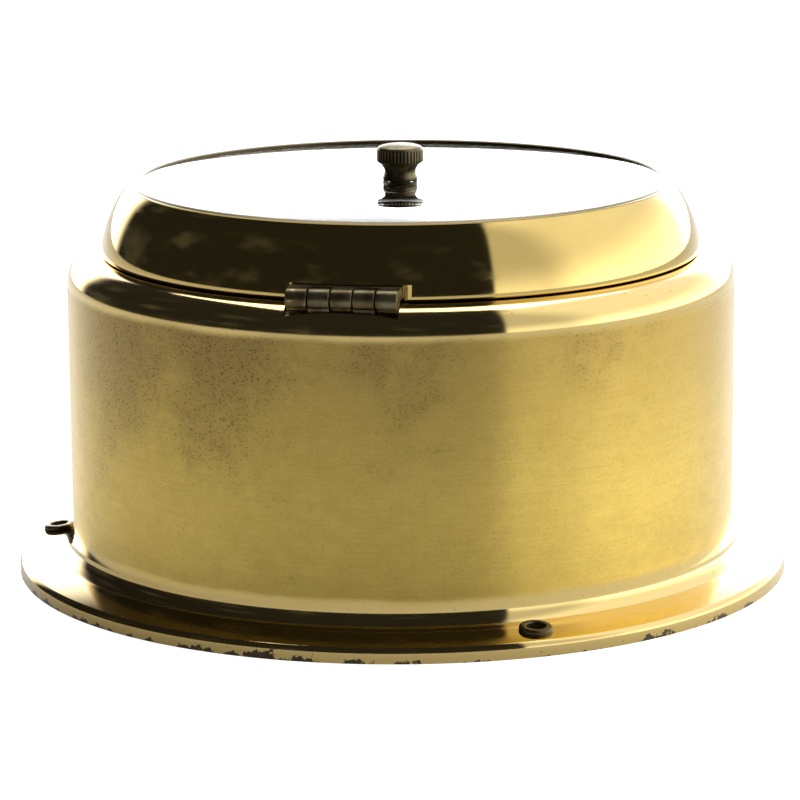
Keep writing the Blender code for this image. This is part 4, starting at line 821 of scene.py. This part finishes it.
def makeCard():
    c = card
    top = c["disc"][3]
    makeRing("compassCard", "compass_card", "card", "card_enamel", c["disc"], edge=0.1)
    printed = []
    for index in range(c["marks"]):
        length = c["shortMark"] if index % 2 else c["longMark"]
        mark = block("mark", (-c["markWidth"] / 2, c["markOuter"] - length, top),
                     (c["markWidth"] / 2, c["markOuter"], top + c["ink"]))
        printed.append(move(mark, aroundZ(index * 360 / c["marks"])))
    for index, heading in enumerate(c["headings"]):
        deselectAll()
        bpy.ops.object.text_add()
        word = bpy.context.object
        word.data.body = heading
        word.data.align_x = word.data.align_y = "CENTER"
        word.data.size = c["textSize"] * mm * (c["cardinalSize"] if heading in "NESW" else 1)
        word.data.extrude = c["ink"] * mm / 2
        bpy.ops.object.convert(target="MESH")
        word = takeNew("heading")
        lift = Matrix.Translation((0, c["textRadius"] * mm, (top + c["ink"] / 2) * mm))
        printed.append(move(word, aroundZ(-index * 360 / len(c["headings"])) @ lift))

    # the star starts as a filled circle, and every other corner is drawn in
    deselectAll()
    corners = c["starPoints"] * 2
    bpy.ops.mesh.primitive_circle_add(vertices=corners, radius=c["starOuter"] * mm,
                                      fill_type="NGON", location=(0, 0, top * mm))
    star = takeNew("star")
    bpy.ops.object.transform_apply(location=True)
    for face in star.data.polygons:
        face.select = False
    for edge in star.data.edges:
        edge.select = False
    for vertex in star.data.vertices:
        turn = math.degrees(math.atan2(vertex.co.y, vertex.co.x))
        vertex.select = round(turn / (360 / corners)) % 2 == 1
    bpy.ops.object.mode_set(mode="EDIT")
    bpy.ops.mesh.select_mode(type="VERT")
    narrow = c["starInner"] / c["starOuter"]
    bpy.ops.transform.resize(value=(narrow, narrow, 1), center_override=(0, 0, top * mm))
    bpy.ops.mesh.select_all(action="SELECT")
    lift = {"value": (0, 0, c["ink"] * mm)}
    bpy.ops.mesh.extrude_region_move(TRANSFORM_OT_translate=lift)
    bpy.ops.mesh.select_all(action="SELECT")
    bpy.ops.mesh.normals_make_consistent(inside=False)
    bpy.ops.object.mode_set(mode="OBJECT")
    boolean(star, [rod("starHole", c["starHole"], (0, 0, top - 1), (0, 0, top + 1))])
    for piece in printed:
        piece.select_set(True)
    star.select_set(True)
    bpy.context.view_layer.objects.active = star
    bpy.ops.object.join()
    star.name = star.data.name = "cardPrinting"
    done(star, finishes["black_paint"], "card", [])


makeCard()
print("card made")

# floor, light and camera; angles in degrees, lengths of the camera in millimetres
studio = {
    "floorSize": 8.0, "floorColour": colour(0.72, 0.72, 0.71),
    "floorShade": colour(0.66, 0.66, 0.65), "floorGlow": colour(0.2, 0.2, 0.2),
    "cameraAzimuth": -80.0, "distance": 806.3, "height": 211.7, "pitch": 12.29, "roll": -0.4,
    "lens": 167.6, "shift": -0.0021,
    "dark": 0.02, "room": 0.05, "bright": 1.5, "panel": 1.35, "panelGlow": 1.0, "back": 3.2,
    "lampPlace": (0.5, 0.9), "lampSize": 0.7, "lampPower": 5,
}

# where each part of the surround begins: its turn from the right-hand side towards the far side
# in degrees, then the cosines between which it fades in; and the heights between which it ends
surround = {
    "right": (17.8, 0.281, 0.311), "rightGlow": (59, -0.05, 0.3), "left": (108, 0.89, 0.95),
    "behind": (90, 0.72, 0.92), "rightTop": (0.93, 0.985), "rightFade": (0.0, 0.5),
    "leftFade": (0.5, 0.9), "behindTop": (0.28, 0.45), "roomTop": (0.6, 0.8),
}


def toCamera():
    turn = math.radians(studio["cameraAzimuth"])
    return Vector((math.sin(turn), -math.cos(turn), 0))


def makeFloor():
    deselectAll()
    bpy.ops.mesh.primitive_grid_add(x_subdivisions=8, y_subdivisions=8, size=studio["floorSize"])
    floor = takeNew("floor")
    sheet = newMaterial("pale floor", Metallic=0.0, Emission_Strength=1.0)
    tone = sheet.noise(6, 3)
    seen = sheet.node("ShaderNodeLightPath", {}, out=0)
    glow = sheet.mix(seen, studio["floorGlow"], colour(1, 1, 1))
    sheet.feed(sheet.shader.inputs["Emission Color"], glow)
    base = sheet.mix(tone * 0.2, studio["floorColour"], studio["floorShade"])
    surface(sheet, base, 0.6 + tone * 0.1)
    floor.data.materials.append(sheet.material)


# a pale surround, dark behind the camera and overhead, as in a small studio tent; the camera
# itself sees it white
def makeWorld():
    s = studio
    world = bpy.data.worlds.new("studio")
    bpy.context.scene.world = world
    world.use_nodes = True
    sheet = Sheet(world.node_tree)
    direction = sheet.node("ShaderNodeTexCoord", {}, out=0)
    facing = toCamera()
    right = Vector((-facing.y, facing.x, 0))
    up = sheet.node("ShaderNodeSeparateXYZ", {}, direction, out=2)

    def beyond(degrees, low, high):
        turn = math.radians(degrees)
        across = right * math.cos(turn) - facing * math.sin(turn)
        settings = {"operation": "DOT_PRODUCT"}
        side = sheet.node("ShaderNodeVectorMath", settings, direction, across, out=1)
        return sheet.rise(side, low, high)

    def under(name, share=1.0):
        return 1 - sheet.rise(up, *surround[name]) * share

    # the right-hand wall of the tent is tall and the left-hand one is low
    rightSide = beyond(*surround["right"]) * under("rightTop") * under("rightFade", 0.5)
    rightSide = rightSide * (s["panel"] + beyond(*surround["rightGlow"]) * s["panelGlow"])
    leftSide = beyond(*surround["left"]) * under("leftFade", 0.6) * s["bright"]
    behind = beyond(*surround["behind"]) * under("behindTop") * s["back"]
    room = sheet.node("ShaderNodeTexNoise", {}, Vector=direction, Scale=3.5, Detail=2.0)
    room = sheet.rise(room, 0.5, 0.75) * under("roomTop") * s["room"]
    light = rightSide + leftSide + behind + room + s["dark"]
    seen = sheet.node("ShaderNodeLightPath", {}, out=0)
    background = world.node_tree.nodes["Background"]
    background.inputs["Color"].default_value = colour(1, 1, 1)
    sheet.feed(background.inputs["Strength"], light * (1 - seen) + seen)


# a large lamp over the far side, aimed at the object
def makeLamp():
    s = studio
    out, height = s["lampPlace"]
    place = Vector((0, 0, height)) - toCamera() * out
    deselectAll()
    bpy.ops.object.light_add(type="AREA", location=place)
    lamp = bpy.context.object
    lamp.name = "backLight"
    lamp.data.size = s["lampSize"]
    lamp.data.energy = s["lampPower"]
    lamp.rotation_euler = (-place).to_track_quat("-Z", "Y").to_euler()


def makeCamera():
    s = studio
    deselectAll()
    bpy.ops.object.camera_add()
    camera = bpy.context.object
    out = toCamera()
    camera.location = out * s["distance"] * mm + Vector((0, 0, s["height"] * mm))
    pitch = math.radians(s["pitch"])
    look = -out * math.cos(pitch) - Vector((0, 0, math.sin(pitch)))
    roll = Matrix.Rotation(math.radians(s["roll"]), 3, "Z")
    camera.rotation_euler = (look.to_track_quat("-Z", "Y").to_matrix() @ roll).to_euler()
    camera.data.lens = s["lens"]
    camera.data.shift_x = s["shift"]
    camera.data.sensor_width = 36
    camera.data.clip_end = 20
    bpy.context.scene.camera = camera


makeFloor()
makeWorld()
makeLamp()
makeCamera()
bpy.context.scene.view_settings.view_transform = "Standard"
bpy.context.view_layer.update()
print("studio made")
